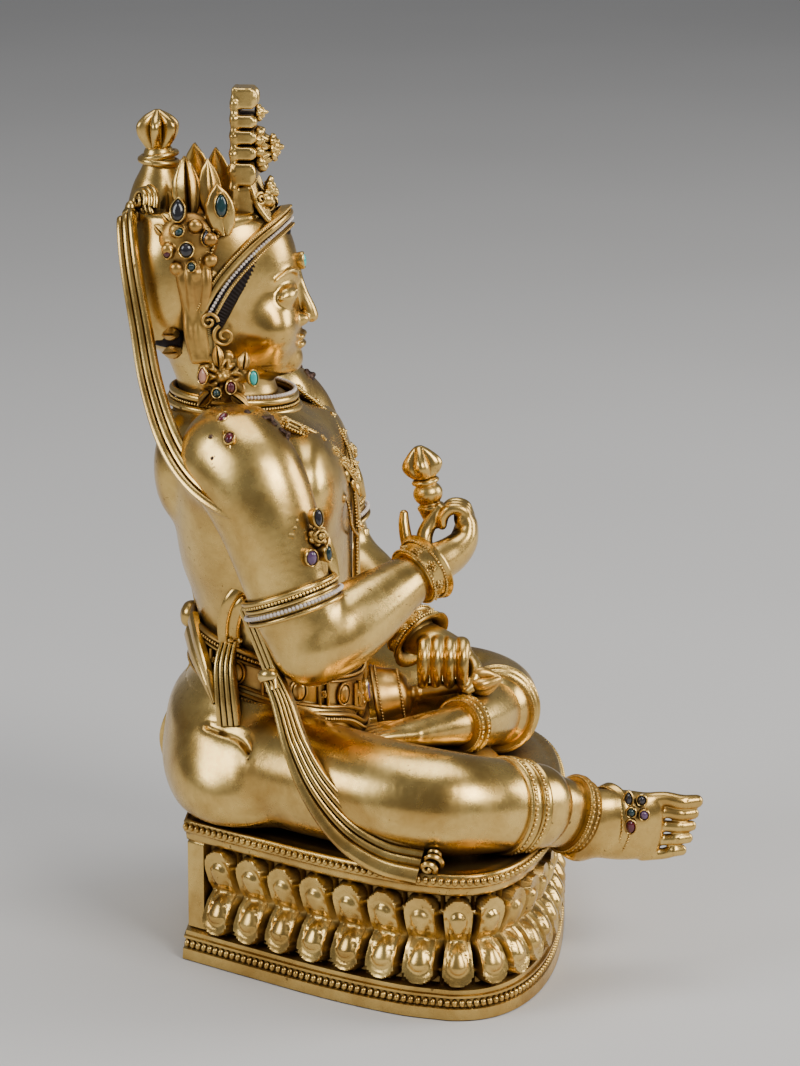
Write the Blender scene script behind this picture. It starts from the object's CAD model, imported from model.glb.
import math
import bmesh
import bpy
import numpy as np
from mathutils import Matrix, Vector


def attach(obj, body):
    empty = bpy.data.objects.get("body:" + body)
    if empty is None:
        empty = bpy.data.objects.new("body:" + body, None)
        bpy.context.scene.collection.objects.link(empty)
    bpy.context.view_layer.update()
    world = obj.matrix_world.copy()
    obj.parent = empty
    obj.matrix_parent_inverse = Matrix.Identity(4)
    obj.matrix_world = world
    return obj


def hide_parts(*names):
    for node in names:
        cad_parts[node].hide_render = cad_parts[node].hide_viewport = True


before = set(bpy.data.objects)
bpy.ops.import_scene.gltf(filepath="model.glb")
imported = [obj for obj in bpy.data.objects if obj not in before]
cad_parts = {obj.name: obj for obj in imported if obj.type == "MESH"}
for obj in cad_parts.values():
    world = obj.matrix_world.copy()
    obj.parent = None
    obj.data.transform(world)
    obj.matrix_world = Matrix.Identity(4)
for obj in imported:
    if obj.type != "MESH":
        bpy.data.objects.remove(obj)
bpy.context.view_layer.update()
print("frame loaded")

mm = 0.001
right = -1   # the figure's right hand is on the -X side
left = 1


# camera and light

view = {
    "place": (-1693.97, -127.35, 596.59),   # mm
    "target": (0, -8.895, 173.206),
    "lens": 141.8,
}


def aimed(obj, target):
    direction = np.array(target, float) - np.array(obj.location, float)
    obj.rotation_euler = Vector(direction).to_track_quat("-Z", "Y").to_euler()


def addCamera():
    data = bpy.data.cameras.new("camera")
    camera = bpy.data.objects.new("camera", data)
    bpy.context.scene.collection.objects.link(camera)
    data.lens = view["lens"]
    data.sensor_fit = "VERTICAL"
    data.sensor_height = 36
    data.clip_start = 0.05
    data.clip_end = 50
    camera.location = [c * mm for c in view["place"]]
    aimed(camera, [c * mm for c in view["target"]])
    bpy.context.scene.camera = camera


softBoxes = {   # place in m, size in m, watts, colour
    "key": ((-1.3, -1.2, 1.5), 1.0, 32, (1, 0.97, 0.92)),
    "front": ((0.5, -2.0, 0.9), 1.1, 26, (1, 0.98, 0.95)),
    "back": ((-0.9, 1.6, 1.1), 0.9, 16, (0.96, 0.98, 1)),
    "top": ((0.2, 0.1, 2.1), 1.2, 16, (1, 1, 1)),
}


def addLights():
    for name, (place, size, watts, colour) in softBoxes.items():
        data = bpy.data.lights.new(name, "AREA")
        data.shape = "SQUARE"
        data.size = size
        data.energy = watts
        data.color = colour
        lamp = bpy.data.objects.new(name, data)
        bpy.context.scene.collection.objects.link(lamp)
        lamp.location = place
        aimed(lamp, (0, 0, 0.17))
    world = bpy.data.worlds.new("studio")
    world.use_nodes = True
    background = world.node_tree.nodes["Background"]
    background.inputs["Color"].default_value = (0.8, 0.82, 0.86, 1)
    background.inputs["Strength"].default_value = 0.22
    bpy.context.scene.world = world


# materials

def newMaterial(name):
    material = bpy.data.materials.new(name)
    material.use_nodes = True
    return material, material.node_tree.nodes, material.node_tree.links


def noise(nodes, links, scale, detail=4, rough=0.55, warp=0):
    where = nodes.new("ShaderNodeNewGeometry")
    texture = nodes.new("ShaderNodeTexNoise")
    texture.inputs["Scale"].default_value = scale
    texture.inputs["Detail"].default_value = detail
    texture.inputs["Roughness"].default_value = rough
    texture.inputs["Distortion"].default_value = warp
    links.new(where.outputs["Position"], texture.inputs["Vector"])
    return texture.outputs["Fac"]


def ramp(nodes, links, source, stops):
    # stops are (place, colour or grey)
    node = nodes.new("ShaderNodeValToRGB")
    while len(node.color_ramp.elements) < len(stops):
        node.color_ramp.elements.new(0.5)
    for element, (place, colour) in zip(node.color_ramp.elements, stops):
        element.position = place
        element.color = (*colour, 1) if isinstance(colour, tuple) else (colour, colour, colour, 1)
    links.new(source, node.inputs["Fac"])
    return node.outputs["Color"]


def mixed(nodes, links, share, first, second, mode="MIX"):
    node = nodes.new("ShaderNodeMix")
    node.data_type = "RGBA"
    node.blend_type = mode
    for socket, value in ((node.inputs["Factor"], share), (node.inputs["A"], first), (node.inputs["B"], second)):
        if isinstance(value, bpy.types.NodeSocket):
            links.new(value, socket)
        elif isinstance(value, tuple):
            socket.default_value = (*value, 1)
        else:
            socket.default_value = value
    return node.outputs["Result"]


def hollows(nodes, links, reach):
    shade = nodes.new("ShaderNodeAmbientOcclusion")
    shade.samples = 6
    shade.inputs["Distance"].default_value = reach
    return shade.outputs["AO"]


def bump(nodes, links, source, strength, distance, shader):
    node = nodes.new("ShaderNodeBump")
    node.inputs["Strength"].default_value = strength
    node.inputs["Distance"].default_value = distance
    links.new(source, node.inputs["Height"])
    links.new(node.outputs["Normal"], shader.inputs["Normal"])


def gilding(name, bright, deep, grime, wear=0.5, roughness=0.24, dirt=0.5):
    # old fire gilding: bright skin, redder worn clouds, brown dirt in the hollows and black specks
    material, nodes, links = newMaterial(name)
    shader = nodes["Principled BSDF"]
    shader.inputs["Metallic"].default_value = 1
    clouds = ramp(nodes, links, noise(nodes, links, 38, 5, 0.6, 0.4), [(0.38, 0), (0.72, 1)])
    skin = mixed(nodes, links, clouds, bright, deep)
    streaks = ramp(nodes, links, noise(nodes, links, 240, 6, 0.7), [(0.5, 0), (0.78, wear)])
    skin = mixed(nodes, links, streaks, skin, deep)
    specks = ramp(nodes, links, noise(nodes, links, 420, 3, 0.5, 0.3), [(0.67, 0), (0.72, 0.85)])
    patches = ramp(nodes, links, noise(nodes, links, 22, 3, 0.5), [(0.46, 0), (0.62, 1)])
    spotted = mixed(nodes, links, 1.0, specks, patches, "MULTIPLY")
    skin = mixed(nodes, links, spotted, skin, grime)
    shade = ramp(nodes, links, hollows(nodes, links, 0.011), [(0.18, 1), (0.5 + dirt * 0.45, 0)])
    skin = mixed(nodes, links, shade, skin, grime)
    links.new(skin, shader.inputs["Base Color"])
    rough = ramp(nodes, links, noise(nodes, links, 70, 6, 0.65), [(0.3, roughness - 0.05), (0.75, roughness + 0.12)])
    rough = mixed(nodes, links, shade, rough, (0.6, 0.6, 0.6))
    rough = mixed(nodes, links, spotted, rough, (0.65, 0.65, 0.65))
    links.new(rough, shader.inputs["Roughness"])
    bump(nodes, links, noise(nodes, links, 520, 4, 0.6), 0.12, 0.0003, shader)
    return material


def polished(name, colour, second, roughness=0.16, scale=260, coat=0.6):
    # a cabochon, its colour a little clouded
    material, nodes, links = newMaterial(name)
    shader = nodes["Principled BSDF"]
    cloud = ramp(nodes, links, noise(nodes, links, scale, 4, 0.6, 0.5), [(0.35, 0), (0.7, 1)])
    links.new(mixed(nodes, links, cloud, colour, second), shader.inputs["Base Color"])
    shader.inputs["Roughness"].default_value = roughness
    shader.inputs["Coat Weight"].default_value = coat
    shader.inputs["Coat Roughness"].default_value = 0.08
    return material


gold = gilding("gilding", (0.86, 0.59, 0.19), (0.5, 0.29, 0.075), (0.06, 0.026, 0.011))
wornGold = gilding("worn_gilding", (0.72, 0.44, 0.12), (0.36, 0.18, 0.05), (0.04, 0.017, 0.009), 0.8, 0.32, 0.8)
blackened = gilding("blackened_gilding", (0.12, 0.075, 0.05), (0.05, 0.03, 0.025), (0.012, 0.009, 0.009), 0.8, 0.42)
hairPaint = gilding("hair_pigment", (0.035, 0.028, 0.026), (0.02, 0.016, 0.016), (0.004, 0.004, 0.004), 0.5, 0.5)
pearlSkin = polished("pearl", (0.8, 0.72, 0.66), (0.62, 0.52, 0.46), 0.28, 420, 0.3)
stoneSkins = {
    "turquoise": polished("turquoise", (0.02, 0.42, 0.44), (0.04, 0.55, 0.5)),
    "garnet": polished("garnet", (0.14, 0.008, 0.02), (0.06, 0.004, 0.012)),
    "amethyst": polished("amethyst", (0.075, 0.03, 0.1), (0.16, 0.09, 0.18)),
    "deep_green": polished("deep_green", (0.012, 0.05, 0.05), (0.006, 0.02, 0.024)),
    "onyx": polished("onyx", (0.012, 0.012, 0.015), (0.03, 0.025, 0.03)),
    "coral": polished("coral", (0.6, 0.3, 0.22), (0.4, 0.16, 0.11)),
}
print("materials made")


# meshes

def addPiece(name, points, faces, material, stands=(), sharp=None, normals=None):
    # points in mm; stands are the frame's nodes that the piece stands for
    mesh = bpy.data.meshes.new(name)
    mesh.from_pydata(np.asarray(points, float) * mm, [], faces if isinstance(faces, list) else faces.tolist())
    mesh.validate()
    mesh.materials.append(material)
    mesh.shade_smooth()
    if normals is None:
        shell = bmesh.new()
        shell.from_mesh(mesh)
        bmesh.ops.recalc_face_normals(shell, faces=shell.faces)
        shell.to_mesh(mesh)
        shell.free()
    else:
        mesh.normals_split_custom_set_from_vertices(normals)
    if sharp:
        mesh.set_sharp_from_angle(angle=math.radians(sharp))
    obj = bpy.data.objects.new(name, mesh)
    bpy.context.scene.collection.objects.link(obj)
    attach(obj, "root")
    if stands:
        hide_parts(*stands)
    return obj


def heap(parts):
    # several (points, faces) as one
    allPoints, allFaces, start = [], [], 0
    for points, faces in parts:
        allPoints.append(np.asarray(points, float))
        allFaces += [[i + start for i in face] for face in (faces if isinstance(faces, list) else faces.tolist())]
        start += len(points)
    return np.vstack(allPoints), allFaces


def gridFaces(rows, columns, closed=True, flip=False):
    # quads of a net of rows by columns, round in the column direction when closed
    across = columns if closed else columns - 1
    i, j = np.meshgrid(np.arange(rows - 1), np.arange(across), indexing="ij")
    i, j = i.ravel(), j.ravel()
    k = (j + 1) % columns
    quads = np.stack([i * columns + j, i * columns + k, (i + 1) * columns + k, (i + 1) * columns + j], 1)
    return quads[:, ::-1] if flip else quads


def smoothPath(rows, pieces=8):
    # every column of the rows, such as a width, runs on one smooth curve
    rows = np.array(rows, float)
    padded = np.vstack([2 * rows[0] - rows[1], rows, 2 * rows[-1] - rows[-2]])
    out = []
    for i in range(len(rows) - 1):
        a, b, c, d = padded[i:i + 4]
        for t in np.arange(pieces) / pieces:
            out.append(0.5 * (2 * b + (c - a) * t + (2 * a - 5 * b + 4 * c - d) * t ** 2 + (3 * b - a - 3 * c + d) * t ** 3))
    out.append(rows[-1])
    return np.array(out)


def unit(v):
    v = np.asarray(v, float)
    return v / (np.linalg.norm(v, axis=-1, keepdims=True) + 1e-12)


def axesFor(out, upward=(0, 0, 1)):
    # right, up and out of a piece that faces `out`
    out = unit(out)
    if abs(np.dot(out, unit(upward))) > 0.95:
        upward = (0, 1, 0)
    across = unit(np.cross(upward, out))
    return across, np.cross(out, across), out


# clay: a block of space that holds the distance to the nearest skin, in mm

farAway = 5.0


def newClay(low, high, step):
    axes = [np.arange(a, b + step, step, dtype=np.float32) for a, b in zip(low, high)]
    return {"axes": axes, "step": step, "field": np.full([len(a) for a in axes], farAway, np.float32)}


def window(axes, low, high):
    slices = []
    for axis, a, b in zip(axes, low, high):
        i, j = np.searchsorted(axis, (a, b))
        slices.append(slice(max(i - 1, 0), min(j + 1, len(axis))))
    x, y, z = (axis[s] for axis, s in zip(axes, slices))
    return tuple(slices), x[:, None, None], y[None, :, None], z[None, None, :]


def press(clay, slices, distance, blend, cut=False):
    field = clay["field"][slices]
    if cut:
        h = np.clip(0.5 - 0.5 * (field + distance) / blend, 0, 1)
        clay["field"][slices] = field * (1 - h) - distance * h + blend * h * (1 - h)
    else:
        h = np.clip(0.5 + 0.5 * (field - distance) / blend, 0, 1)
        clay["field"][slices] = field * (1 - h) + distance * h - blend * h * (1 - h)


def pressTube(clay, rows, blend=2.0, upright=(0, 0, 1), pieces=9, cut=False):
    # rows are [x, y, z, half width, half height], the height lying along `upright`
    path = smoothPath(rows, pieces)
    if path.shape[1] == 4:
        path = np.column_stack([path, path[:, 3]])
    centre, radii = path[:, :3], np.maximum(path[:, 3:], 0.2)
    reach = radii.max() + farAway
    slices, *_ = window(clay["axes"], centre.min(0) - reach, centre.max(0) + reach)
    axes = [axis[s] for axis, s in zip(clay["axes"], slices)]
    best = np.full([len(a) for a in axes], farAway * 3, np.float32)
    if best.size == 0:
        return
    for a, b, ra, rb in zip(centre, centre[1:], radii, radii[1:]):
        along = b - a
        length = np.linalg.norm(along) + 1e-9
        along = along / length
        across = unit(np.cross(upright, along))
        over = np.cross(along, across)
        segmentReach = max(ra.max(), rb.max()) + farAway
        part, x, y, z = window(axes, np.minimum(a, b) - segmentReach, np.maximum(a, b) + segmentReach)
        if 0 in (x.size, y.size, z.size):
            continue
        x, y, z = x - a[0], y - a[1], z - a[2]
        t = x * along[0] + y * along[1] + z * along[2]
        beyond = t - np.clip(t, 0, length)
        share = np.clip(t / length, 0, 1)
        u = x * across[0] + y * across[1] + z * across[2]
        v = x * over[0] + y * over[1] + z * over[2]
        wide = ra[0] + (rb[0] - ra[0]) * share
        high = ra[1] + (rb[1] - ra[1]) * share
        q = np.sqrt((u / wide) ** 2 + (v / high) ** 2 + (beyond / np.minimum(wide, high)) ** 2) + 1e-6
        r = np.sqrt(u * u + v * v + beyond * beyond)
        best[part] = np.minimum(best[part], r - r / q)
    press(clay, slices, best, blend, cut)


def pressEgg(clay, place, radii, out=(0, 0, 1), upward=(0, 1, 0), blend=2.0, cut=False):
    radii = np.array(radii, float)
    place = np.array(place, float)
    reach = radii.max() + farAway
    slices, x, y, z = window(clay["axes"], place - reach, place + reach)
    if 0 in (x.size, y.size, z.size):
        return
    x, y, z = x - place[0], y - place[1], z - place[2]
    q = 1e-6
    for axis, radius in zip(axesFor(out, upward), radii):
        q = q + ((x * axis[0] + y * axis[1] + z * axis[2]) / radius) ** 2
    q = np.sqrt(q)
    r = np.sqrt(x * x + y * y + z * z)
    press(clay, slices, r - r / q, blend, cut)


def pressStack(clay, rows, power=2.2, blend=2.0, wave=None):
    # rows are [z, half width, front y, back y, rise towards the back]
    rows = smoothPath([list(row) + [0] * (5 - len(row)) for row in rows], 6)
    z = rows[:, 0]
    low = [-rows[:, 1].max() - farAway, rows[:, 2].min() - farAway, z[0] - 40]
    high = [rows[:, 1].max() + farAway, rows[:, 3].max() + farAway, z[-1] + 40]
    slices, x, y, zz = window(clay["axes"], low, high)
    middle = (rows[:, 2] + rows[:, 3]) / 2
    level = zz - np.interp(zz, z, rows[:, 4]) * (y - np.interp(zz, z, middle))
    wide = np.interp(level, z, rows[:, 1])
    deep = np.interp(level, z, (rows[:, 3] - rows[:, 2]) / 2)
    y = y - np.interp(level, z, middle)
    q = (np.abs(x / wide) ** power + np.abs(y / deep) ** power) ** (1 / power) + 1e-6
    r = np.sqrt(x * x + y * y)
    distance = r - r / q
    if wave is not None:
        distance = distance - wave(x, y, level)
    ends = np.maximum(z[0] - level, level - z[-1])
    h = np.clip(0.5 - 0.5 * (ends - distance) / 3, 0, 1)
    distance = ends * (1 - h) + distance * h + 3 * h * (1 - h)
    press(clay, slices, distance.astype(np.float32), blend)


def sampled(field, p):
    # the field between its grid points, p in grid steps
    p = np.clip(p, 0, np.array(field.shape) - 1.001)
    i = p.astype(int)
    f = p - i
    total = 0
    for dx in (0, 1):
        for dy in (0, 1):
            for dz in (0, 1):
                share = np.prod(np.where([dx, dy, dz], f, 1 - f), axis=1)
                total = total + share * field[i[:, 0] + dx, i[:, 1] + dy, i[:, 2] + dz]
    return total


def slope(field, p):
    steps = np.eye(3) * 0.6
    return np.stack([sampled(field, p + s) - sampled(field, p - s) for s in steps], 1) / 1.2


def skinOf(clay, polish=2):
    # the skin as an even net of quads: points, faces and normals
    field = clay["field"]
    for axis in range(3):   # a shape that leaves the block is closed flat at its side
        for end in (0, -1):
            np.moveaxis(field, axis, 0)[end] = np.maximum(np.moveaxis(field, axis, 0)[end], 0.5)
    inside = field < 0
    count = sum(
        inside[dx:inside.shape[0] - 1 + dx, dy:inside.shape[1] - 1 + dy, dz:inside.shape[2] - 1 + dz].astype(np.int8)
        for dx in (0, 1) for dy in (0, 1) for dz in (0, 1)
    )
    cells = np.argwhere((count > 0) & (count < 8))
    corners = [(dx, dy, dz) for dx in (0, 1) for dy in (0, 1) for dz in (0, 1)]
    values = {c: field[tuple((cells + c).T)] for c in corners}
    total = np.zeros((len(cells), 3))
    hits = np.zeros(len(cells))
    for a in corners:
        for axis in range(3):
            if a[axis]:
                continue
            b = tuple(1 if k == axis else a[k] for k in range(3))
            crosses = (values[a] < 0) != (values[b] < 0)
            t = np.where(crosses, values[a] / np.where(crosses, values[a] - values[b], 1), 0)
            point = np.array(a, float) + t[:, None] * np.eye(3)[axis]
            total += point * crosses[:, None]
            hits += crosses
    points = cells + total / hits[:, None]
    number = np.full(count.shape, -1, np.int32)
    number[tuple(cells.T)] = np.arange(len(cells))
    faces = []
    for axis in range(3):
        first = np.take(inside, range(inside.shape[axis] - 1), axis)
        second = np.take(inside, range(1, inside.shape[axis]), axis)
        edges = np.argwhere(first != second)
        b, c = (axis + 1) % 3, (axis + 2) % 3
        keep = (edges[:, b] > 0) & (edges[:, c] > 0) & (edges[:, b] < count.shape[b]) & (edges[:, c] < count.shape[c])
        edges = edges[keep]
        quad = []
        for db, dc in ((-1, -1), (0, -1), (0, 0), (-1, 0)):
            cell = edges.copy()
            cell[:, b] += db
            cell[:, c] += dc
            quad.append(number[tuple(cell.T)])
        quad = np.stack(quad, 1)
        outward = first[tuple(edges.T)]
        faces.append(np.where(outward[:, None], quad, quad[:, ::-1]))
    faces = np.vstack(faces)
    edges = np.vstack([faces[:, [k, (k + 1) % 4]] for k in range(4)])
    degree = np.bincount(edges[:, 0], minlength=len(points))[:, None]
    for _ in range(polish):
        for _ in range(2):
            near = np.stack([np.bincount(edges[:, 0], points[edges[:, 1], k], len(points)) for k in range(3)], 1)
            points = points + 0.5 * (near / np.maximum(degree, 1) - points)
        for _ in range(2):
            g = slope(field, points)
            off = sampled(field, points)[:, None] * g / (np.sum(g * g, 1, keepdims=True) + 0.05)
            points = points - np.clip(off, -0.6, 0.6)
    normals = unit(slope(field, points))
    low = np.array([a[0] for a in clay["axes"]])
    return low + points * clay["step"], faces, normals


def addSkin(name, clay, material, stands=(), polish=2):
    points, faces, normals = skinOf(clay, polish)
    obj = addPiece(name, points, faces, material, stands, normals=normals)
    print(name, len(faces) * 2, "triangles")
    return obj


# the lotus throne

throne = {
    "height": 60.7,
    "halfWidth": 112.7,
    "widestY": -36,
    "frontDepth": 43,
    "backY": 79,
    "backHalfWidth": 47,
    "petalsPerSide": 15,
    "marginAtBack": 9,
    "samplesPerPetal": 17,
    "bead": 1.75,          # radius of a bead of the two ropes
    "beadPitch": 3.1,
}


def thronePlan():
    # half the outline, from the back corner round to the middle of the front
    t = throne
    side = smoothPath([
        [-t["backHalfWidth"], t["backY"]], [-68, 49], [-90, 16.5], [-106.5, -14], [-t["halfWidth"], t["widestY"]],
    ], 30)
    angle = np.linspace(0, math.pi / 2, 90)
    front = np.stack([
        -t["halfWidth"] * np.cos(angle) ** 0.8,
        t["widestY"] - t["frontDepth"] * np.sin(angle) ** 0.8,
    ], 1)
    outline = np.vstack([side[:-1], front])
    length = np.concatenate([[0], np.cumsum(np.linalg.norm(np.diff(outline, axis=0), axis=1))])
    even = np.linspace(0, length[-1], 600)
    outline = np.stack([np.interp(even, length, outline[:, k]) for k in (0, 1)], 1)
    kernel = np.ones(15) / 15
    padded = np.vstack([np.repeat(outline[:1], 7, 0), outline, np.repeat(outline[-1:], 7, 0)])
    smoothed = np.stack([np.convolve(padded[:, k], kernel, "valid") for k in (0, 1)], 1)
    smoothed[:8], smoothed[-8:] = outline[:8], outline[-8:]
    along = unit(np.gradient(smoothed, axis=0))
    out = np.stack([along[:, 1], -along[:, 0]], 1)
    out[-1] = (0, -1)
    return even, outline, out


planLength, planPoints, planOut = thronePlan()


def throneStation(distance):
    place = np.stack([np.interp(distance, planLength, planPoints[:, k]) for k in (0, 1)], -1)
    out = unit(np.stack([np.interp(distance, planLength, planOut[:, k]) for k in (0, 1)], -1))
    return place, out


def smooth(a, b, x):
    t = np.clip((x - a) / (b - a), 0, 1)
    return t * t * (3 - 2 * t)


def petalRelief(u, v, crest, between):
    # u runs across a petal from -0.5 to 0.5, v from the waist to the tip; gives the inset
    close = np.maximum(v - 0.56, 0) / 0.42
    q = np.sqrt((u / 0.455) ** 2 + close ** 2.2)
    lobe = np.sqrt((u / (0.13 + 0.13 * np.clip(v / 0.5, 0, 1))) ** 2 + ((v - 0.36) / 0.3) ** 2)
    second = np.sqrt((u / 0.34) ** 2 + (np.maximum(v - 0.42, 0) / 0.34) ** 2)
    inset = between + (crest - between) * smooth(1.03, 0.9, q)
    inset = inset - 0.55 * np.exp(-((q - 0.84) / 0.08) ** 2)
    inset = inset + 0.7 * np.exp(-((second - 1) / 0.075) ** 2) * smooth(1, 0.9, q)
    inset = inset - 2.0 * np.sqrt(np.clip(1 - lobe ** 2, 0, 1)) + 0.6 * np.exp(-((lobe - 1.12) / 0.1) ** 2)
    beside = np.abs(np.abs(u) - 0.5) / (0.13 * np.clip((1 - v) / 0.42, 0.02, 1))
    return inset - 2.4 * np.clip(1 - beside, 0, 1) * (v > 0.56)


def throneInset(distance, z):
    # how far the wall stands in from the plan, in mm
    t = throne
    plainZ = [0, 0.5, 4.8, 5.6, 7, 8.8, 9.3, 10.2, 10.6, 12.2, 12.8, 13.6, 50.6, 51.2, 52, 54.8, 55.6, 56.2, 58, 60, 60.7]
    plainIn = [1.0, 0.3, 0.8, 2.2, 2.2, 2.4, 1.4, 1.4, 2.6, 2.8, 4.2, 6.6, 7.6, 5, 3.9, 3.4, 2.4, 2.2, 2.2, 2.2, 2.8]
    plain = np.interp(z, plainZ, plainIn)
    pitch = (planLength[-1] - t["marginAtBack"]) / t["petalsPerSide"]
    along = (distance - t["marginAtBack"]) / pitch
    u = along - np.floor(along) - 0.5
    waist, lowest, highest = 31.3, 13.2, 51.2
    lower = z < waist
    v = np.clip(np.where(lower, (waist - z) / (waist - lowest), (z - waist) / (highest - waist)), 0, 1)
    crest = np.where(
        lower,
        np.interp(v, [0, 0.2, 0.5, 0.75, 0.92, 1], [8.4, 4.6, 1.6, 0.7, 0.5, 1.2]),
        np.interp(v, [0, 0.2, 0.5, 0.75, 0.92, 1], [8.4, 5.6, 3.4, 2.8, 3, 3.6]),
    )
    between = np.where(
        lower,
        np.interp(v, [0, 0.4, 1], [9.4, 8.6, 6.8]),
        np.interp(v, [0, 0.4, 1], [9.4, 8.8, 7.8]),
    )
    carved = petalRelief(u, v, crest, between)
    isPetal = (z > lowest) & (z < highest) & (distance > t["marginAtBack"])
    edge = np.where((z > lowest) & (z < highest), 4.4, plain)
    return np.where(isPetal, carved, np.where(distance > t["marginAtBack"], plain, edge))


def lotusThrone():
    t = throne
    samples = t["petalsPerSide"] * t["samplesPerPetal"]
    distance = np.concatenate([[0, 4, t["marginAtBack"] - 0.3], np.linspace(t["marginAtBack"] + 0.01, planLength[-1], samples + 1)])
    levels = np.concatenate([
        [0, 0.5, 2.5, 4.8, 5.2, 5.6, 7, 8.8, 9.05, 9.3, 9.7, 10.2, 10.6, 11.4, 12.2, 12.8],
        np.linspace(13.2, 51.2, 52),
        [51.6, 52, 53.4, 54.8, 55.2, 55.6, 56.2, 58, 60, 60.7],
    ])
    place, out = throneStation(distance)
    rings = []
    for z in levels:
        inset = throneInset(distance, np.full(len(distance), z))
        half = np.column_stack([place - out * inset[:, None], np.full(len(distance), z)])
        other = half[:-1][::-1] * (-1, 1, 1)
        rings.append(np.vstack([half, other]))
    columns = len(rings[0])
    for inset, z in ((4.4, 60.9), (5.2, 60.2), (7, 60.2), (8, 60.7), (9.5, 60.7)):
        half = np.column_stack([place - out * inset, np.full(len(distance), min(z, t["height"]))])
        rings.append(np.vstack([half, half[:-1][::-1] * (-1, 1, 1)]))
    faces = gridFaces(len(rings), columns, flip=True).tolist()
    faces.append(list(range(columns)))
    faces.append(list(range(len(rings) * columns - 1, (len(rings) - 1) * columns - 1, -1)))
    addPiece("lotus_throne", np.vstack(rings), faces, gold, stands=("lotus_base",), sharp=50)


def beadMesh(place, radius, stretch=(1, 1, 1), axes=None, wide=8, high=5):
    # a low ball, its poles along the third axis
    rings = []
    for i in range(1, high):
        polar = math.pi * i / high
        angle = np.arange(wide) / wide * 2 * math.pi
        rings.append(np.stack([np.sin(polar) * np.cos(angle), np.sin(polar) * np.sin(angle), np.full(wide, np.cos(polar))], 1))
    points = np.vstack(rings + [[[0, 0, 1]], [[0, 0, -1]]]) * radius * np.array(stretch)
    if axes is not None:
        points = points @ np.array(axes)
    faces = gridFaces(high - 1, wide, flip=True).tolist()
    top, bottom = (high - 1) * wide, (high - 1) * wide + 1
    for j in range(wide):
        k = (j + 1) % wide
        faces.append([top, j, k])
        faces.append([bottom, (high - 2) * wide + k, (high - 2) * wide + j])
    return points + np.asarray(place, float), faces


def throneBeads():
    parts = []
    count = int(planLength[-1] / throne["beadPitch"])
    distance = (np.arange(count) + 0.5) / count * planLength[-1]
    for z, inset in ((7.1, 2.0), (58.1, 2.0)):
        place, out = throneStation(distance)
        for (x, y), (ox, oy) in zip(place - out * inset, out):
            axes = ((-oy, ox, 0), (0, 0, 1), (ox, oy, 0))
            parts.append(beadMesh((x, y, z), throne["bead"], (0.78, 1, 1), axes))
            mirrored = ((-oy, -ox, 0), (0, 0, 1), (-ox, oy, 0))
            parts.append(beadMesh((-x, y, z), throne["bead"], (0.78, 1, 1), mirrored))
    points, faces = heap(parts)
    addPiece("throne_bead_ropes", points, faces, gold)


# the body

def mirroredRows(side, rows):
    return [[row[0] * side] + list(row[1:]) for row in rows]


body = {
    "step": 1.7,
    "torso": [
        [61.2, 58, 26, 77], [67, 68, 17, 86], [79, 70, 11, 90.5, 0.04], [91, 63, 10, 87.5, 0.15],
        [102, 54, 9, 80.5, 0.28], [112, 49.4, 8.4, 76.5, 0.3], [127, 43.4, 9.4, 75, 0.3], [138, 43, 10.6, 76, 0.2],
        [150, 45.6, 11.2, 78.4, 0.1], [164, 51, 11.4, 82], [182, 57.5, 11.4, 84.5], [198, 60, 12, 86],
        [210, 58, 16.5, 86], [219, 49, 23, 85], [226.6, 30, 33, 84], [233, 20, 40, 83.5],
    ],
    "arm": [
        [56, 54, 219, 17, 15], [61.5, 47, 210, 21.6, 18.2], [65.5, 39.5, 194, 20.4, 18.2],
        [68.2, 31.3, 168, 17.8, 16.6], [69.8, 27.8, 157, 17.2, 16], [70.5, 23, 145, 15.6, 15.2],
    ],
    "elbow": [70.5, 21.5, 141.5],
    "rightWrist": [-28, -22.5, 166.5],
    "leftWrist": [42, -14.5, 116.5],
    "foreArm": [[0, 14.6], [0.12, 16.2], [0.28, 16.4], [0.55, 14], [0.8, 10.6], [0.97, 8.6]],
}


def foreArmRows(side, wrist):
    elbow = np.array(body["elbow"]) * (side, 1, 1)
    return [[*(elbow + (np.array(wrist) - elbow) * share), width, width] for share, width in body["foreArm"]]


def torso():
    clay = newClay((-92, 2, 111), (92, 96, 236), body["step"])
    pressStack(clay, body["torso"], 2.3, 2)
    for side in (right, left):
        pressEgg(clay, (side * 26, 24, 200), (24, 20, 9), (0, -1, 0.1), (0, 0, 1), blend=10)
        pressEgg(clay, (side * 27, 12.4, 194), (2, 2, 1.8), (0, -1, 0.05), (0, 0, 1), blend=1.5)
        pressEgg(clay, (side * 53, 54, 217), (22, 22, 18), (side, 0, 0.6), blend=9)
        pressTube(clay, mirroredRows(side, body["arm"]), 4, (side, 0, 0))
        pressEgg(clay, (side * 18, 83, 205), (17, 20, 8), (0, 1, 0), (0, 0, 1), blend=8)
    pressTube(clay, [[0, 91, 214, 3, 3], [0, 91, 190, 3, 3], [0, 85, 150, 3, 3]], 6, (0, 1, 0), cut=True)
    addSkin("torso", clay, gold, stands=("figure",))


def foreArm(side):
    wrist = body["rightWrist"] if side == right else body["leftWrist"]
    reach = [side * 48, side * 92]
    low = (min(reach + [wrist[0]]) - 10, -36, 100)
    high = (max(reach + [wrist[0]]) + 10, 54, 186)
    clay = newClay(low, high, 1.45)
    upper = [[*row[:3], row[3], row[4]] for row in body["arm"][3:]]
    pressTube(clay, mirroredRows(side, upper), 3, (side, 0, 0))
    pressTube(clay, foreArmRows(side, wrist), 4)
    addSkin("right_fore_arm" if side == right else "left_fore_arm", clay, gold)


# the legs and the seat

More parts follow.
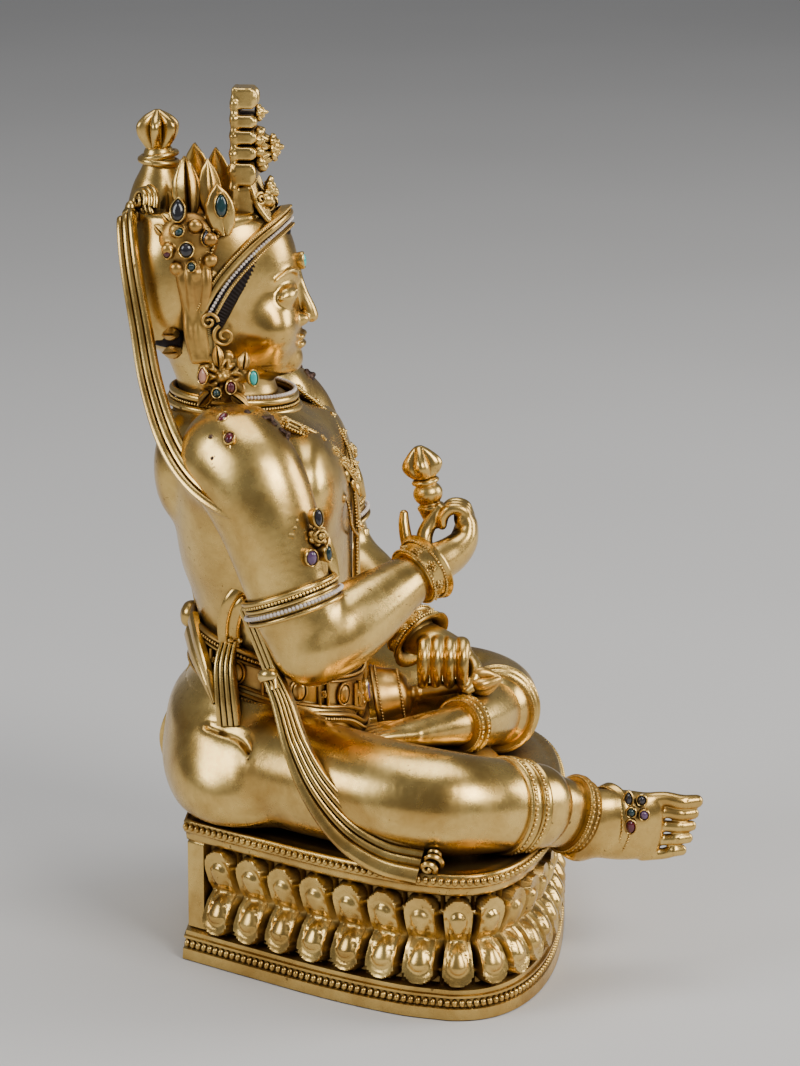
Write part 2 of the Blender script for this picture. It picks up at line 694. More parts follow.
legs = {
    "step": 1.75,
    "rightThigh": [
        [-32, 55, 85, 27, 23], [-56, 28, 85, 24.6, 23.4], [-77, -4, 84.2, 23.8, 22.4],
        [-86.5, -30, 83.4, 22.2, 21.2], [-84, -46, 82, 20.2, 19.6], [-76, -59, 79.6, 17.8, 18.2], [-69, -67.6, 77.2, 16.4, 17.4],
    ],
    "leftThigh": [
        [32, 55, 84, 27, 22.5], [56, 28, 84, 24, 22.4], [78, -6, 83.4, 22.4, 21],
        [87, -32, 80.8, 20.6, 18.8], [79, -45, 80, 18, 17.8], [64, -47.2, 81, 16.4, 17], [56, -46.8, 81.4, 15.8, 16.6],
    ],
}


def hipsAndThighs():
    clay = newClay((-113, -86, 60), (113, 94, 113), legs["step"])
    pressStack(clay, body["torso"], 2.3, 2)
    pressTube(clay, legs["rightThigh"], 7)
    pressTube(clay, legs["leftThigh"], 7)

    def folds(x, y, z):
        # the cloth spreads in pleats from the belly
        angle = np.arctan2(x, -y + 30)
        return 0.9 * np.cos(angle * 17) * smooth(10, 50, np.sqrt(x * x + y * y))

    lap = [[61.2, 66, -52, 40], [68, 66, -51, 38], [74, 58, -42, 36], [79, 40, -24, 30], [81, 20, -8, 24]]
    pressStack(clay, lap, 2.6, 5, folds)
    for side in (right, left):
        crease = [[side * 52, 66, 104, 2, 2], [side * 62, 50, 100, 1.6, 1.6], [side * 70, 44, 86, 1.2, 1.2]]
        pressTube(clay, crease, 2.5, cut=True)
    addSkin("hips_and_thighs", clay, gold)


# head

head = {"step": 0.8}


def headSkin():
    clay = newClay((-33, 22, 226), (33, 106, 316), head["step"])
    pressStack(clay, [[224, 21, 38, 82], [230, 19, 40, 82.5], [237, 17.4, 43, 83.5], [249, 18, 45, 88], [260, 19, 50, 92]], 2.1, 1)
    skull = [
        [240, 9, 38, 60], [243, 14.5, 34.6, 74], [248, 19, 33, 88], [256, 23, 32.6, 96], [266, 25.8, 32.8, 99.5],
        [278, 26.8, 33, 101.6], [290, 26.6, 33.6, 102], [300, 25, 36.6, 101], [308, 22, 41, 98],
    ]
    pressStack(clay, skull, 2.1, 3)
    pressTube(clay, [[0, 34.4, 284, 2.2, 2.2], [0, 31.6, 275, 2.5, 2.4], [0, 28.8, 268.4, 3.2, 2.8], [0, 27.6, 265, 3.4, 2.8]], 2.6, (0, 1, 0))
    for side in (right, left):
        pressEgg(clay, (side * 4.2, 31.6, 264.4), (3, 3.4, 2.5), blend=1.6)
        pressTube(clay, [
            [side * 3.4, 33.4, 281.6, 0.9, 0.9], [side * 8, 33, 285, 1, 1], [side * 14, 35.4, 286, 0.9, 0.9],
            [side * 19.4, 40.2, 283, 0.6, 0.6],
        ], 2.2)
        pressEgg(clay, (side * 11.2, 37.6, 276), (7.4, 5.4, 4.4), blend=1.6)
        pressTube(clay, [
            [side * 4.8, 35.4, 275, 0.4, 0.4], [side * 8, 32.6, 277.2, 0.55, 0.55], [side * 12, 32.5, 278, 0.55, 0.55],
            [side * 16, 34.6, 276.6, 0.5, 0.5], [side * 19.6, 38.4, 275.6, 0.4, 0.4],
        ], 0.6)
        pressTube(clay, [
            [side * 5, 34.9, 273.6, 0.35, 0.35], [side * 9, 32.6, 273.8, 0.4, 0.4], [side * 13, 32.8, 274, 0.4, 0.4],
            [side * 18, 36.8, 274.4, 0.35, 0.35],
        ], 0.35, cut=True)
        pressEgg(clay, (side * 13, 42, 262), (10, 8, 10), blend=9)
        pressEgg(clay, (side * 3, 32, 257), (4.2, 2.2, 1.5), blend=1)
    pressEgg(clay, (0, 32.4, 253.4), (5.4, 2.6, 1.9), blend=1.2)
    pressTube(clay, [[-7.6, 35.2, 255.6, 0.35, 0.35], [-3, 31.2, 255, 0.45, 0.45], [3, 31.2, 255, 0.45, 0.45], [7.6, 35.2, 255.6, 0.35, 0.35]], 0.4, cut=True)
    pressTube(clay, [[0, 31, 262, 0.8, 0.8], [0, 31.2, 259, 0.9, 0.9]], 1, (0, 1, 0), cut=True)
    pressEgg(clay, (0, 36, 246.6), (7.6, 4.6, 5), blend=3)
    for side in (right, left):
        pressTube(clay, [
            [side * 26.6, 66, 286, 1.6, 2], [side * 27.6, 69, 281, 2, 3.4], [side * 27.6, 68.6, 272, 2, 3.8], [side * 28, 67, 262, 1.7, 2.6],
            [side * 28.8, 66, 250, 1.7, 2.6],
        ], 1.4, (0, 1, 0))
    for level in (233.6, 238.4):
        ring = [[math.sin(a) * 18.8, 63 - math.cos(a) * 21.4, level - math.cos(a) * 1.2, 0.6, 0.6] for a in np.linspace(-2, 2, 12)]
        pressTube(clay, ring, 0.6, cut=True)
    addSkin("head", clay, gold)


def hair():
    clay = newClay((-33, 40, 250), (33, 108, 318), 1.3)
    pressStack(clay, [
        [252, 16, 76, 95], [258, 23, 70, 99], [268, 27.6, 66, 102.6], [280, 29, 62, 104], [294, 28.4, 58, 103.4], [304, 26, 46, 102],
        [310, 25, 44, 101],
    ], 2.2, 2)
    addSkin("hair_back", clay, gold)


# hands and feet

def rightHand():
    clay = newClay((-46, -48, 150), (14, 0, 196), 0.78)
    pressTube(clay, [
        [-32, -18, 164.5, 8.6, 8.2], [-26, -24.5, 166.8, 8.8, 8], [-18, -31, 168.6, 9.6, 7.4], [-12, -35.6, 172.6, 10, 6],
        [-8.6, -37, 179.4, 9.6, 4.6], [-8.4, -35.4, 183.4, 8.8, 3.6],
    ], 2, (0, 1, 0.6))
    for offset in (-6, -1.2, 3.6):
        pressTube(clay, [
            [-8.4 + offset, -37.6, 181, 2.6], [-8.4 + offset, -36.2, 186.4, 2.6], [-8.6 + offset, -31, 187.4, 2.5],
            [-8.8 + offset, -27.6, 183.8, 2.3], [-9 + offset, -27.4, 180.6, 2],
        ], 1.2, (1, 0, 0))
    pressTube(clay, [[-20, -20, 170, 3.6], [-15, -20.4, 177, 3.4], [-12.4, -24, 183.6, 2.9], [-11.6, -26, 187, 2.3]], 1.6)
    pressTube(clay, [[-22, -16, 169, 3.2], [-17, -13, 174, 2.7], [-14, -11.6, 180, 2.4], [-12.4, -11.4, 184.4, 1.9]], 1.4)
    addSkin("right_hand", clay, gold)


def leftHand():
    clay = newClay((14, -48, 90), (56, 2, 130), 0.78)
    pressTube(clay, [[47, -9, 119, 8.4, 8.2], [42, -15, 116.6, 8.6, 7.8], [37.6, -24, 114.4, 9, 6.6], [35.6, -31, 112, 8.4, 5.6]], 2)
    for i in range(4):
        y = -17 - 5.6 * i
        pressTube(clay, [
            [37, y * 0.7 - 7, 115.4, 3.1], [31, y, 117, 3], [25.6, y, 113.4, 2.8], [24, y, 107, 2.6], [25.4, y, 101.4, 2.4],
            [29, y, 98.8, 2.1],
        ], 1)
    pressTube(clay, [[38, -34, 111, 3.4], [31, -39, 106, 3.2], [26, -38, 100.6, 2.7], [23.6, -35.6, 98.4, 2.1]], 1.4)
    addSkin("left_hand", clay, gold)


feet = {"toes": (19.5, 18.4, 17.4, 16, 13.6)}


def nailPlace(toe, thick):
    tip = np.array(toe[-1][:3], float)
    back = np.array(toe[-2][:3], float)
    return tip - unit(tip - back) * thick * 0.9


def rightFoot():
    clay = newClay((-82, -140, 42), (-30, -60, 98), 0.92)
    pressTube(clay, [
        [-74, -62, 78.4, 14.6, 15.6], [-63, -75, 73.4, 12.6, 14.8], [-55.6, -83, 69.6, 10.4, 13.6], [-51, -89, 66.4, 9.4, 13.4],
        [-48.6, -97, 64, 8.6, 14.6], [-46, -106, 62.6, 7.2, 14.8], [-43.8, -116, 61.8, 4.8, 13.6],
    ], 3)
    pressEgg(clay, (-46.6, -85.6, 55.4), (8, 9, 8.4), blend=4)
    pressEgg(clay, (-54.6, -92, 65), (3.6, 4, 4), blend=3)
    for i, length in enumerate(feet["toes"]):
        rise = 73.4 - i * 5.9
        thick = 3.1 if i == 0 else 2.55
        drop = rise * 0.9 + 6.2
        toe = [
            [-44, -112, rise - 0.6, thick, thick], [-43, -121, rise, thick * 0.94, thick * 0.94],
            [-43.4, -116 - length * 0.62, drop, thick * 1.02, thick * 0.98], [-42, -114.6 - length, drop, thick * 0.86, thick * 0.9],
        ]
        pressTube(clay, toe, 0.9)
        nail = nailPlace(toe, thick) + (-thick * 0.9, 0, 0)
        pressTube(clay, [[*(nail + (0, 1.6, -1.4)), 0.3, 0.3], [*(nail + (0, 2.3, 0)), 0.3, 0.3], [*(nail + (0, 1.6, 1.4)), 0.3, 0.3]], 0.25, (1, 0, 0), cut=True)
    addSkin("right_foot", clay, gold)


def leftFoot():
    clay = newClay((-26, -64, 68), (74, 16, 104), 1.1)
    pressTube(clay, [[66, -47, 81, 14, 15], [50, -46, 82, 13, 14], [34, -42.4, 83.4, 11, 12.2], [17, -35.6, 85.6, 8.8, 9.4], [8, -28, 87, 8.8, 8], [-2, -15, 87.8, 9.2, 6], [-9, -6, 88, 8, 4.4]], 2.5)
    for i in range(5):
        k = i - 2
        pressTube(clay, [[-3 + k * 3.4, -12 + k * 2.2, 88.4, 2.5], [-10 + k * 3.2, -1 + k * 2, 89, 2.4], [-14 + k * 3, 5 + k * 1.8, 88.2, 2.1]], 0.8)
    addSkin("left_foot", clay, gold)


# strips, turned pieces, leaves, blossoms, beads and stones

def sweep(rows, outs, section, pieces=6, ring=False):
    # a bar along a path: rows are [x, y, z, width, thickness], `outs` the ways its face looks
    path = np.array(rows, float) if ring else smoothPath(rows, pieces)
    outs = np.atleast_2d(np.array(outs, float))
    share = np.linspace(0, 1, len(path))
    out = np.stack([np.interp(share, np.linspace(0, 1, len(outs)), outs[:, k]) for k in range(3)], 1)
    centre = path[:, :3]
    along = unit(np.roll(centre, -1, 0) - np.roll(centre, 1, 0) if ring else np.gradient(centre, axis=0))
    out = unit(out - along * (out * along).sum(1, keepdims=True))
    across = np.cross(out, along)
    section = np.array(section, float)
    points = centre[:, None] + across[:, None] * section[None, :, :1] * path[:, None, 3:4]
    points = (points + out[:, None] * section[None, :, 1:] * path[:, None, 4:5]).reshape(-1, 3)
    columns = len(section)
    if ring:
        return points, gridFaces(len(path) + 1, columns) % len(points)
    ends = [list(range(columns)), list(range(len(points) - 1, len(points) - columns - 1, -1))]
    return points, gridFaces(len(path), columns).tolist() + ends


def ridged(ridges, depth=0.28, back=-0.5, first=1):
    # rounded ridges in front, flat behind, in shares of width and thickness; the first may be wider
    edges = np.concatenate([[0], first + np.arange(ridges)]) / (first + ridges - 1)
    section = []
    for a, b in zip(edges, edges[1:]):
        t = np.linspace(0, 1, 7)[:-1]
        section += list(zip(a + (b - a) * t - 0.5, 0.5 - depth * (1 - np.sin(math.pi * t) ** 0.28)))
    return np.array(section + [(0.5, 0.5 - depth), (0.5, back), (-0.5, back)])


def roundSection(sides=10, deep=1):
    angle = np.arange(sides) / sides * 2 * math.pi
    return np.stack([0.5 * np.cos(angle), 0.5 * deep * np.sin(angle)], 1)


def lathe(place, axis, rows, sides=36, lobes=0, upward=(0, 0, 1), stretch=(1, 1), sharpness=1.4):
    # rows are [distance along the axis, radius, depth of the lobes]
    across, up, out = axesFor(axis, upward)
    angle = np.arange(sides) / sides * 2 * math.pi
    rings = []
    for row in rows:
        groove = row[2] if len(row) > 2 else 0
        radius = row[1] * (1 - groove * (1 - np.abs(np.cos(lobes * angle / 2))) ** sharpness)
        ring = np.outer(radius * np.cos(angle) * stretch[0], across) + np.outer(radius * np.sin(angle) * stretch[1], up)
        rings.append(ring + np.asarray(place, float) + out * row[0])
    points = np.vstack(rings)
    ends = [list(range(sides)), list(range(len(points) - 1, len(points) - sides - 1, -1))]
    return points, gridFaces(len(rings), sides).tolist() + ends


def blossom(place, out, radius, thick, petals=8, upward=(0, 0, 1), stretch=(1, 1)):
    # two tiers of petals round a boss, flat behind
    across, up, out = axesFor(out, upward)
    sides = petals * 6
    angle = np.arange(sides) / sides * 2 * math.pi
    outer = np.abs(np.cos(petals * angle / 2)) ** 0.6
    inner = np.abs(np.sin(petals * angle / 2)) ** 0.6
    rings = [(0.55 + 0 * angle, -0.3 + 0 * angle), (0.92 * (0.8 + 0.2 * outer), -0.12 + 0 * angle)]
    for r in np.linspace(1, 0.02, 14):
        spread = r * (1 - (0.22 - 0.22 * outer) * r)
        low = 0.12 + 0.3 * (1 - r)
        tier1 = 0.34 * np.sqrt(np.clip(1 - ((r - 0.8) / 0.2) ** 2, 0, 1)) * outer
        tier2 = (0.3 + 0.34 * np.sqrt(np.clip(1 - ((r - 0.45) / 0.19) ** 2, 0, 1)) * inner) * (r < 0.64)
        boss = (0.55 + 0.45 * math.sqrt(max(1 - (r / 0.25) ** 2, 0))) * (r < 0.25)
        rings.append((spread, np.maximum(np.maximum(low * (r < 1), tier1), np.maximum(tier2, boss))))
    points = []
    for spread, rise in rings:
        flat = np.outer(spread * np.cos(angle) * stretch[0], across) + np.outer(spread * np.sin(angle) * stretch[1], up)
        points.append(np.asarray(place, float) + flat * radius + np.outer(rise * thick, out))
    points = np.vstack(points)
    ends = [list(range(sides)), list(range(len(points) - 1, len(points) - sides - 1, -1))]
    return points, gridFaces(len(rings), sides).tolist() + ends


def leaf(place, out, upward, width, height, thick, ribs=0.35, curl=0, foot=0.5):
    # a pointed leaf with a groove down the middle and a rolled edge, rounder behind
    across, up, out = axesFor(out, upward)
    u = np.linspace(-1, 1, 19)
    rows = []
    for v in np.linspace(0, 1, 17):
        half = width / 2 * np.interp(v, [0, 0.15, 0.4, 0.6, 0.8, 0.92, 1], [foot, 0.82, 1, 0.93, 0.62, 0.3, 0.05])
        dome = np.sqrt(np.clip(1 - u ** 2, 0, 1))
        carve = 0.55 * np.exp(-((np.abs(u) - 0.24) / 0.1) ** 2) - np.exp(-(u / 0.09) ** 2) - 0.6 * np.exp(-((np.abs(u) - 0.64) / 0.08) ** 2)
        body = np.interp(v, [0, 0.5, 1], [1, 0.9, 0.45])
        front = thick * (0.62 * dome * body + 0.3 * ribs * carve * (1 - v ** 4) * dome)
        behind = -thick * 0.38 * dome[1:-1][::-1] * body
        base = np.asarray(place, float) + up * height * v + out * curl * v * v
        rows.append(np.vstack([
            base + np.outer(u * half, across) + np.outer(front, out),
            base + np.outer(u[1:-1][::-1] * half, across) + np.outer(behind, out),
        ]))
    points = np.vstack(rows)
    columns = len(rows[0])
    ends = [list(range(columns)), list(range(len(points) - 1, len(points) - columns - 1, -1))]
    return points, gridFaces(len(rows), columns).tolist() + ends


def beadRow(path, radius, pitch=0, flat=1, wide=8, high=5, ring=False):
    line = np.asarray(path, float)[:, :3]
    line = np.vstack([line, line[:1]]) if ring else line
    length = np.concatenate([[0], np.cumsum(np.linalg.norm(np.diff(line, axis=0), axis=1))])
    count = max(1, round(length[-1] / (pitch or radius * 2)))
    along = (np.arange(count) + 0.5) / count * length[-1]
    place, ahead = (np.stack([np.interp(s, length, line[:, k]) for k in range(3)], 1) for s in (along, along + 0.2))
    return heap([
        beadMesh(p, radius, (1, 1, flat), axesFor(q - p), wide, high)
        for p, q in zip(place, ahead) if np.linalg.norm(q - p) > 0.01
    ])


def oval(place, out, upward, halfWidth, halfLength, rows, sides=28, point=0):
    # rows are [rise, growth]: a stack of ovals, drawn out to a point above by `point`
    across, up, out = axesFor(out, upward)
    angle = np.arange(sides) / sides * 2 * math.pi
    tip = 1 + point * np.clip(np.sin(angle), 0, 1) ** 6
    points = np.vstack([
        np.asarray(place, float) + out * rise
        + np.outer(np.cos(angle) * (halfWidth + grow), across) + np.outer(np.sin(angle) * tip * (halfLength + grow), up)
        for rise, grow in rows
    ])
    ends = [list(range(sides)), list(range(len(points) - 1, len(points) - sides - 1, -1))]
    return points, gridFaces(len(rows), sides).tolist() + ends


def collet(place, out, upward, halfWidth, halfLength, rim=0.75, depth=4.2, point=0):
    # the gold cup of a stone, its rim rolled over the stone's edge
    rows = [(-depth, 0.1), (-1, rim * 0.8), (0.2, rim), (0.75, rim * 0.9), (1.05, rim * 0.45), (0.95, 0.1), (0.3, 0), (-0.3, -0.1)]
    return oval(place, out, upward, halfWidth, halfLength, rows, point=point)


def cabochon(place, out, upward, halfWidth, halfLength, rise=1.7, point=0):
    small = min(halfWidth, halfLength)
    rows = [(-0.2, -0.12)] + [(rise * math.sin(a), -0.04 - small * (1 - math.cos(a))) for a in np.linspace(0.1, 1.42, 8)]
    return oval(place, out, upward, halfWidth, halfLength, rows, point=point)


def spiral(place, axis, radius, turns, thick, depth=0, start=0):
    # a curled scroll lying square to the axis
    across, up, out = axesFor(axis)
    t = np.linspace(0, 1, int(turns * 18))
    angle = start + t * turns * 2 * math.pi
    reach = radius * (1 - 0.82 * t)
    path = np.asarray(place, float) + np.outer(np.cos(angle) * reach, across) + np.outer(np.sin(angle) * reach, up) + np.outer(depth * t, out)
    rows = np.column_stack([path, thick * (1 - 0.4 * t), thick * (1 - 0.4 * t)])
    return sweep(rows, out, roundSection(8), pieces=1)


def pressBlock(clay, place, halves, out=(0, -1, 0), upward=(0, 0, 1), rounding=1.0, blend=0.5, cut=False):
    place = np.array(place, float)
    reach = np.linalg.norm(halves) + farAway
    slices, x, y, z = window(clay["axes"], place - reach, place + reach)
    x, y, z = x - place[0], y - place[1], z - place[2]
    q = [np.abs(x * a[0] + y * a[1] + z * a[2]) - h + rounding for a, h in zip(axesFor(out, upward), halves)]
    beyond = np.sqrt(sum(np.maximum(part, 0) ** 2 for part in q))
    press(clay, slices, beyond + np.minimum(np.maximum(np.maximum(q[0], q[1]), q[2]), 0) - rounding, blend, cut)


# stones

stoneColours = {
    "forehead_turquoise": "turquoise", "earring_stone_coral": "coral", "earring_stone_blue": "turquoise",
    "shoulder_stone_blue": "turquoise", "rosette_stone_red": "garnet", "armlet_stone_purple": "amethyst",
    "clasp_stone": "amethyst", "foot_stone_violet": "amethyst",
}
stoneWords = {
    "red": "garnet", "brown": "garnet", "green": "deep_green", "teal": "deep_green", "leaf": "deep_green", "blue": "deep_green",
    "violet": "amethyst", "purple": "amethyst", "turquoise": "turquoise", "coral": "coral", "top": "onyx", "round": "onyx", "upper": "onyx",
    "large": "garnet", "drop": "onyx", "white": "pearl",
}
pointedStones = {"rosette_stone_top": 0.25, "rosette_stone_leaf": 0.12, "rosette_stone_drop": 0.4, "earring_stone_coral": 0.3, "foot_stone_drop": 0.3}


def stoneFrame(node):
    # base centre, outward and long direction, half width and half length of a stone of the frame
    points = np.array([v.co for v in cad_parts[node].data.vertices]) / mm
    points = np.unique(np.round(points, 3), axis=0)
    centre = points.mean(0)
    _, directions = np.linalg.eigh(np.cov((points - centre).T))
    out, across, up = directions.T
    rise = (points - centre) @ out
    if rise.max() < -rise.min():
        out, rise = -out, -rise
    if up[2] < 0:
        up = -up
    base = centre + out * rise.min()
    return base, out, up, np.abs((points - base) @ across).max() / 0.93, np.abs((points - base) @ up).max()


def inlaidStones():
    settings = []
    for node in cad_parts:
        if "_stone" not in node and node != "forehead_turquoise":
            continue
        place, out, up, halfWidth, halfLength = stoneFrame(node)
        point = pointedStones.get(node, 0)
        colour = stoneColours.get(node) or stoneWords[node.split("_")[-1]]
        points, faces = cabochon(place, out, up, halfWidth, halfLength, point=point)
        skin = pearlSkin if colour == "pearl" else stoneSkins[colour]
        addPiece(node + "_cabochon", points, faces, skin, stands=(node,))
        settings.append(collet(place, out, up, halfWidth, halfLength, point=point))
    points, faces = heap(settings)
    addPiece("stone_settings", points, faces, gold, sharp=60)


# crown and hair

crown = {
    "band": [[0, 37.2, 306.5], [12, 41, 303.5], [21.5, 50, 296], [27, 60.5, 284], [28.4, 68.5, 270]],
    "hairStrip": [
        [0, 37.6, 300.6, 5.4], [12, 41.4, 297.2, 5.8], [21.6, 49.6, 289.4, 7.2], [26.6, 58.6, 278.4, 9],
        [28, 65, 268, 9.5], [28.4, 68.4, 261, 5],
    ],
    "bandHeight": 8.6,
    "bandThickness": 4.5,
    "pearl": 0.72,
    "pearlPitch": 1.5,
}


def crownLine(rise=0, outward=0):
    # from the right ear over the forehead to the left ear
    rows = mirroredRows(right, crown["band"][:0:-1]) + crown["band"]
    path = smoothPath(rows, 12)
    t = np.linspace(-1, 1, len(path))
    out = unit(np.stack([1.15 * t, -1 + np.abs(t), 0.15 + 0 * t], 1))
    over = unit(np.cross(out, unit(np.gradient(path, axis=0))))
    return path + over * rise + out * outward, out


def crownBand():
    path, out = crownLine()
    rows = np.column_stack([path, np.full(len(path), crown["bandHeight"]), np.full(len(path), crown["bandThickness"])])
    section = [
        (-0.5, -0.5), (-0.5, 0.3), (-0.44, 0.4), (-0.36, 0.3), (-0.3, 0.12), (0, 0.12), (0.04, 0.5), (0.1, 0.56),
        (0.26, 0.5), (0.32, 0.3), (0.4, 0.3), (0.46, 0.42), (0.5, 0.3), (0.5, -0.5),
    ]
    parts = [sweep(rows, out, section, pieces=1)]
    for rise in (-3.7, 3.7):
        parts.append(beadRow(crownLine(rise, 1.9)[0], 0.5, 0.98, wide=6, high=4))
    points, faces = heap(parts)
    addPiece("crown_band", points, faces, gold, sharp=45)
    points, faces = beadRow(crownLine(-1.3, 1.6)[0], crown["pearl"], crown["pearlPitch"])
    addPiece("crown_pearl_string", points, faces, pearlSkin, stands=("crown_pearls",))


def hairStrip():
    rows = mirroredRows(right, crown["hairStrip"][:0:-1]) + crown["hairStrip"]
    path = smoothPath(rows, 44)
    comb = 2.6 + 0.32 * np.sin(np.arange(len(path)) * 1.35)
    t = np.linspace(-1, 1, len(path))
    out = np.stack([1.2 * t, -1 + np.abs(t), 0.1 + 0 * t], 1)
    section = [(-0.5, -0.5), (-0.5, 0), (-0.4, 0.34), (-0.2, 0.5), (0.2, 0.5), (0.4, 0.4), (0.5, 0), (0.5, -0.5)]
    points, faces = sweep(np.column_stack([path, comb]), out, section, pieces=1)
    addPiece("hair_line", points, faces, hairPaint)
    turn = np.linspace(0.62, math.pi * 2 - 0.62, 150)
    nape = np.stack([np.sin(turn) * 26.4, 69 - np.cos(turn) * 31.5, 257.5 + 0.09 * (69 - np.cos(turn) * 31.5 - 69)], 1)
    comb = 2.8 + 0.4 * np.sin(np.arange(len(nape)) * 1.5)
    rows = np.column_stack([nape, np.full(len(nape), 7.5), comb])
    outs = np.stack([np.sin(turn), -np.cos(turn), 0 * turn], 1)
    keep = nape[:, 1] > 78
    points, faces = sweep(rows[keep], outs[keep], section, pieces=1)
    addPiece("nape_hair", points, faces, hairPaint)


leafTiers = [   # height of the middle, half height, half width
    (355.2, 4.4, 6.6), (346, 2.7, 9.2), (339.9, 2.9, 11.2), (333.6, 2.9, 12.8), (325.4, 4.6, 14.8),
]


def frontLeaf():
    clay = newClay((-20, 38, 300), (20, 64, 363), 0.68)
    for z, half in ((309, 14.4), (316, 15), (323, 14.6), (330, 13.6), (337, 11.8), (344, 9.8), (350, 8), (355.4, 6.2)):
        pressBlock(clay, (0, 58.2, z), (half, 4.4, 1.3), rounding=1.2, blend=3)
    for z, high, wide in leafTiers:
        pressBlock(clay, (0, 54, z), (wide, high, 4.1 - (z - 325) * 0.01), rounding=1.3, blend=0.5)
        for side in (right, left):
            pressEgg(clay, (side * (wide - 2.6), 50.2, z), (2.4, high * 0.8, 1.5), (0, -1, 0), (0, 0, 1), blend=0.6)
    pressBlock(clay, (0, 54.4, 313.6), (14.2, 6.6, 4.6), (0, -1, 0.12), rounding=1.6, blend=0.8)
    for i in range(-5, 6):
        pressTube(clay, [[i * 2.7, 50.6, 320, 1], [i * 2.9, 48, 313, 1.35], [i * 3, 43.6, 307, 1.2]], 0.5, pieces=2)
    for side in (right, left):
        for x, z in ((4.4, 312.6), (10.4, 314.6)):
            pressEgg(clay, (side * x, 45.4, z), (2.6, 3, 3.6), (0, -1, 0), (0, 0, 1), blend=0.8)
    for z in (350.3, 343, 336.7, 330.4):
        pressBlock(clay, (0, 52.6, z), (16, 0.45, 2.9), rounding=0.3, blend=0.4, cut=True)
    addSkin("crown_front_leaf", clay, gold)
    parts = [
        blossom((0, 48.6, 333.8), (0, -1, 0.08), 9.8, 8.6, 10),
        blossom((0, 43, 334.6), (0, -1, 0.08), 6, 4.6, 8),
        blossom((0, 49, 348.8), (0, -1, 0.1), 3.8, 4.2, 6),
        blossom((0, 45.6, 316.4), (0, -1, -0.2), 7, 5, 8),
    ]
    for side in (right, left):
        for x, z, r in ((4.6, 311.4, 3.2), (9.6, 313.4, 3), (13.8, 315.4, 2.6)):
            parts.append(spiral((side * x, 43.4 + x * 0.25, z), (side, -0.5, 0.2), r, 1.6, 1.5, 1.2, 1.2))
    points, faces = heap(parts)
    addPiece("crown_blossoms", points, faces, gold, sharp=50)


def hairKnot():
    mound = smoothPath([[303, 13.2], [309, 13.3], [315, 12], [320, 10.3], [324, 8.2], [326.8, 6.8]], 5).tolist()
    neck = smoothPath([[331.4, 6.4], [333, 6], [334.4, 5.2]], 3).tolist()
    bud = smoothPath([
        [333.8, 5, 0.1], [336, 6.6, 0.35], [339, 8.6, 0.5], [342.4, 9.4, 0.55], [344.8, 8.7, 0.5], [347, 6.4, 0.42],
        [348.6, 3.6, 0.3], [349.8, 1.2, 0.1],
    ], 5).tolist()
    parts = [
        lathe((0, 90, 0), (0, 0, 1), mound + neck, 48),
        lathe((0, 90.4, 0), (0, 0, 1), bud, 72, 6, sharpness=1.0),
    ]
    for z, tilt, radius, thick in ((328.6, 0.1, 7.4, 3), (331, -0.16, 7, 2.6)):
        turn = np.linspace(0, 2 * math.pi, 49)[:-1]
        ring = np.stack([np.cos(turn) * radius, 90 + np.sin(turn) * radius, z + tilt * np.sin(turn) * radius], 1)
        rows = np.column_stack([ring, np.full(48, thick), np.full(48, thick)])
        parts.append(sweep(rows, (0, 0, 1), roundSection(10), ring=True))
    for side in (right, left):
        axis = unit((side * 0.75, 1, 0.25))
        for k, radius in enumerate((7.4, 6.2, 5)):
            parts.append(spiral(np.array([side * 10, 93.8, 313.4]) + axis * k * 1.8, axis, radius, 1.3, 2.6, 1, 0.8 + side))
        parts.append(lathe(np.array([side * 11.6, 100.4, 309.6]), (side * 0.9, 0.9, 0.1), [[-1, 3.2], [0.4, 3.6], [1.6, 3], [2.2, 1.4]], 20, stretch=(0.75, 1.25)))
        for k in range(3):
            parts.append(sweep([
                [side * (12 + k * 1.6), 92 - k * 3, 302, 2.6, 2.2], [side * (13 + k * 1.5), 95 - k * 2, 309, 2.6, 2.2],
                [side * (10 + k), 97 - k * 2, 317, 1.8, 1.6],
            ], (side, 0.6, 0), roundSection(8)))
    points, faces = heap(parts)
    addPiece("hair_knot", points, faces, gold, sharp=60)


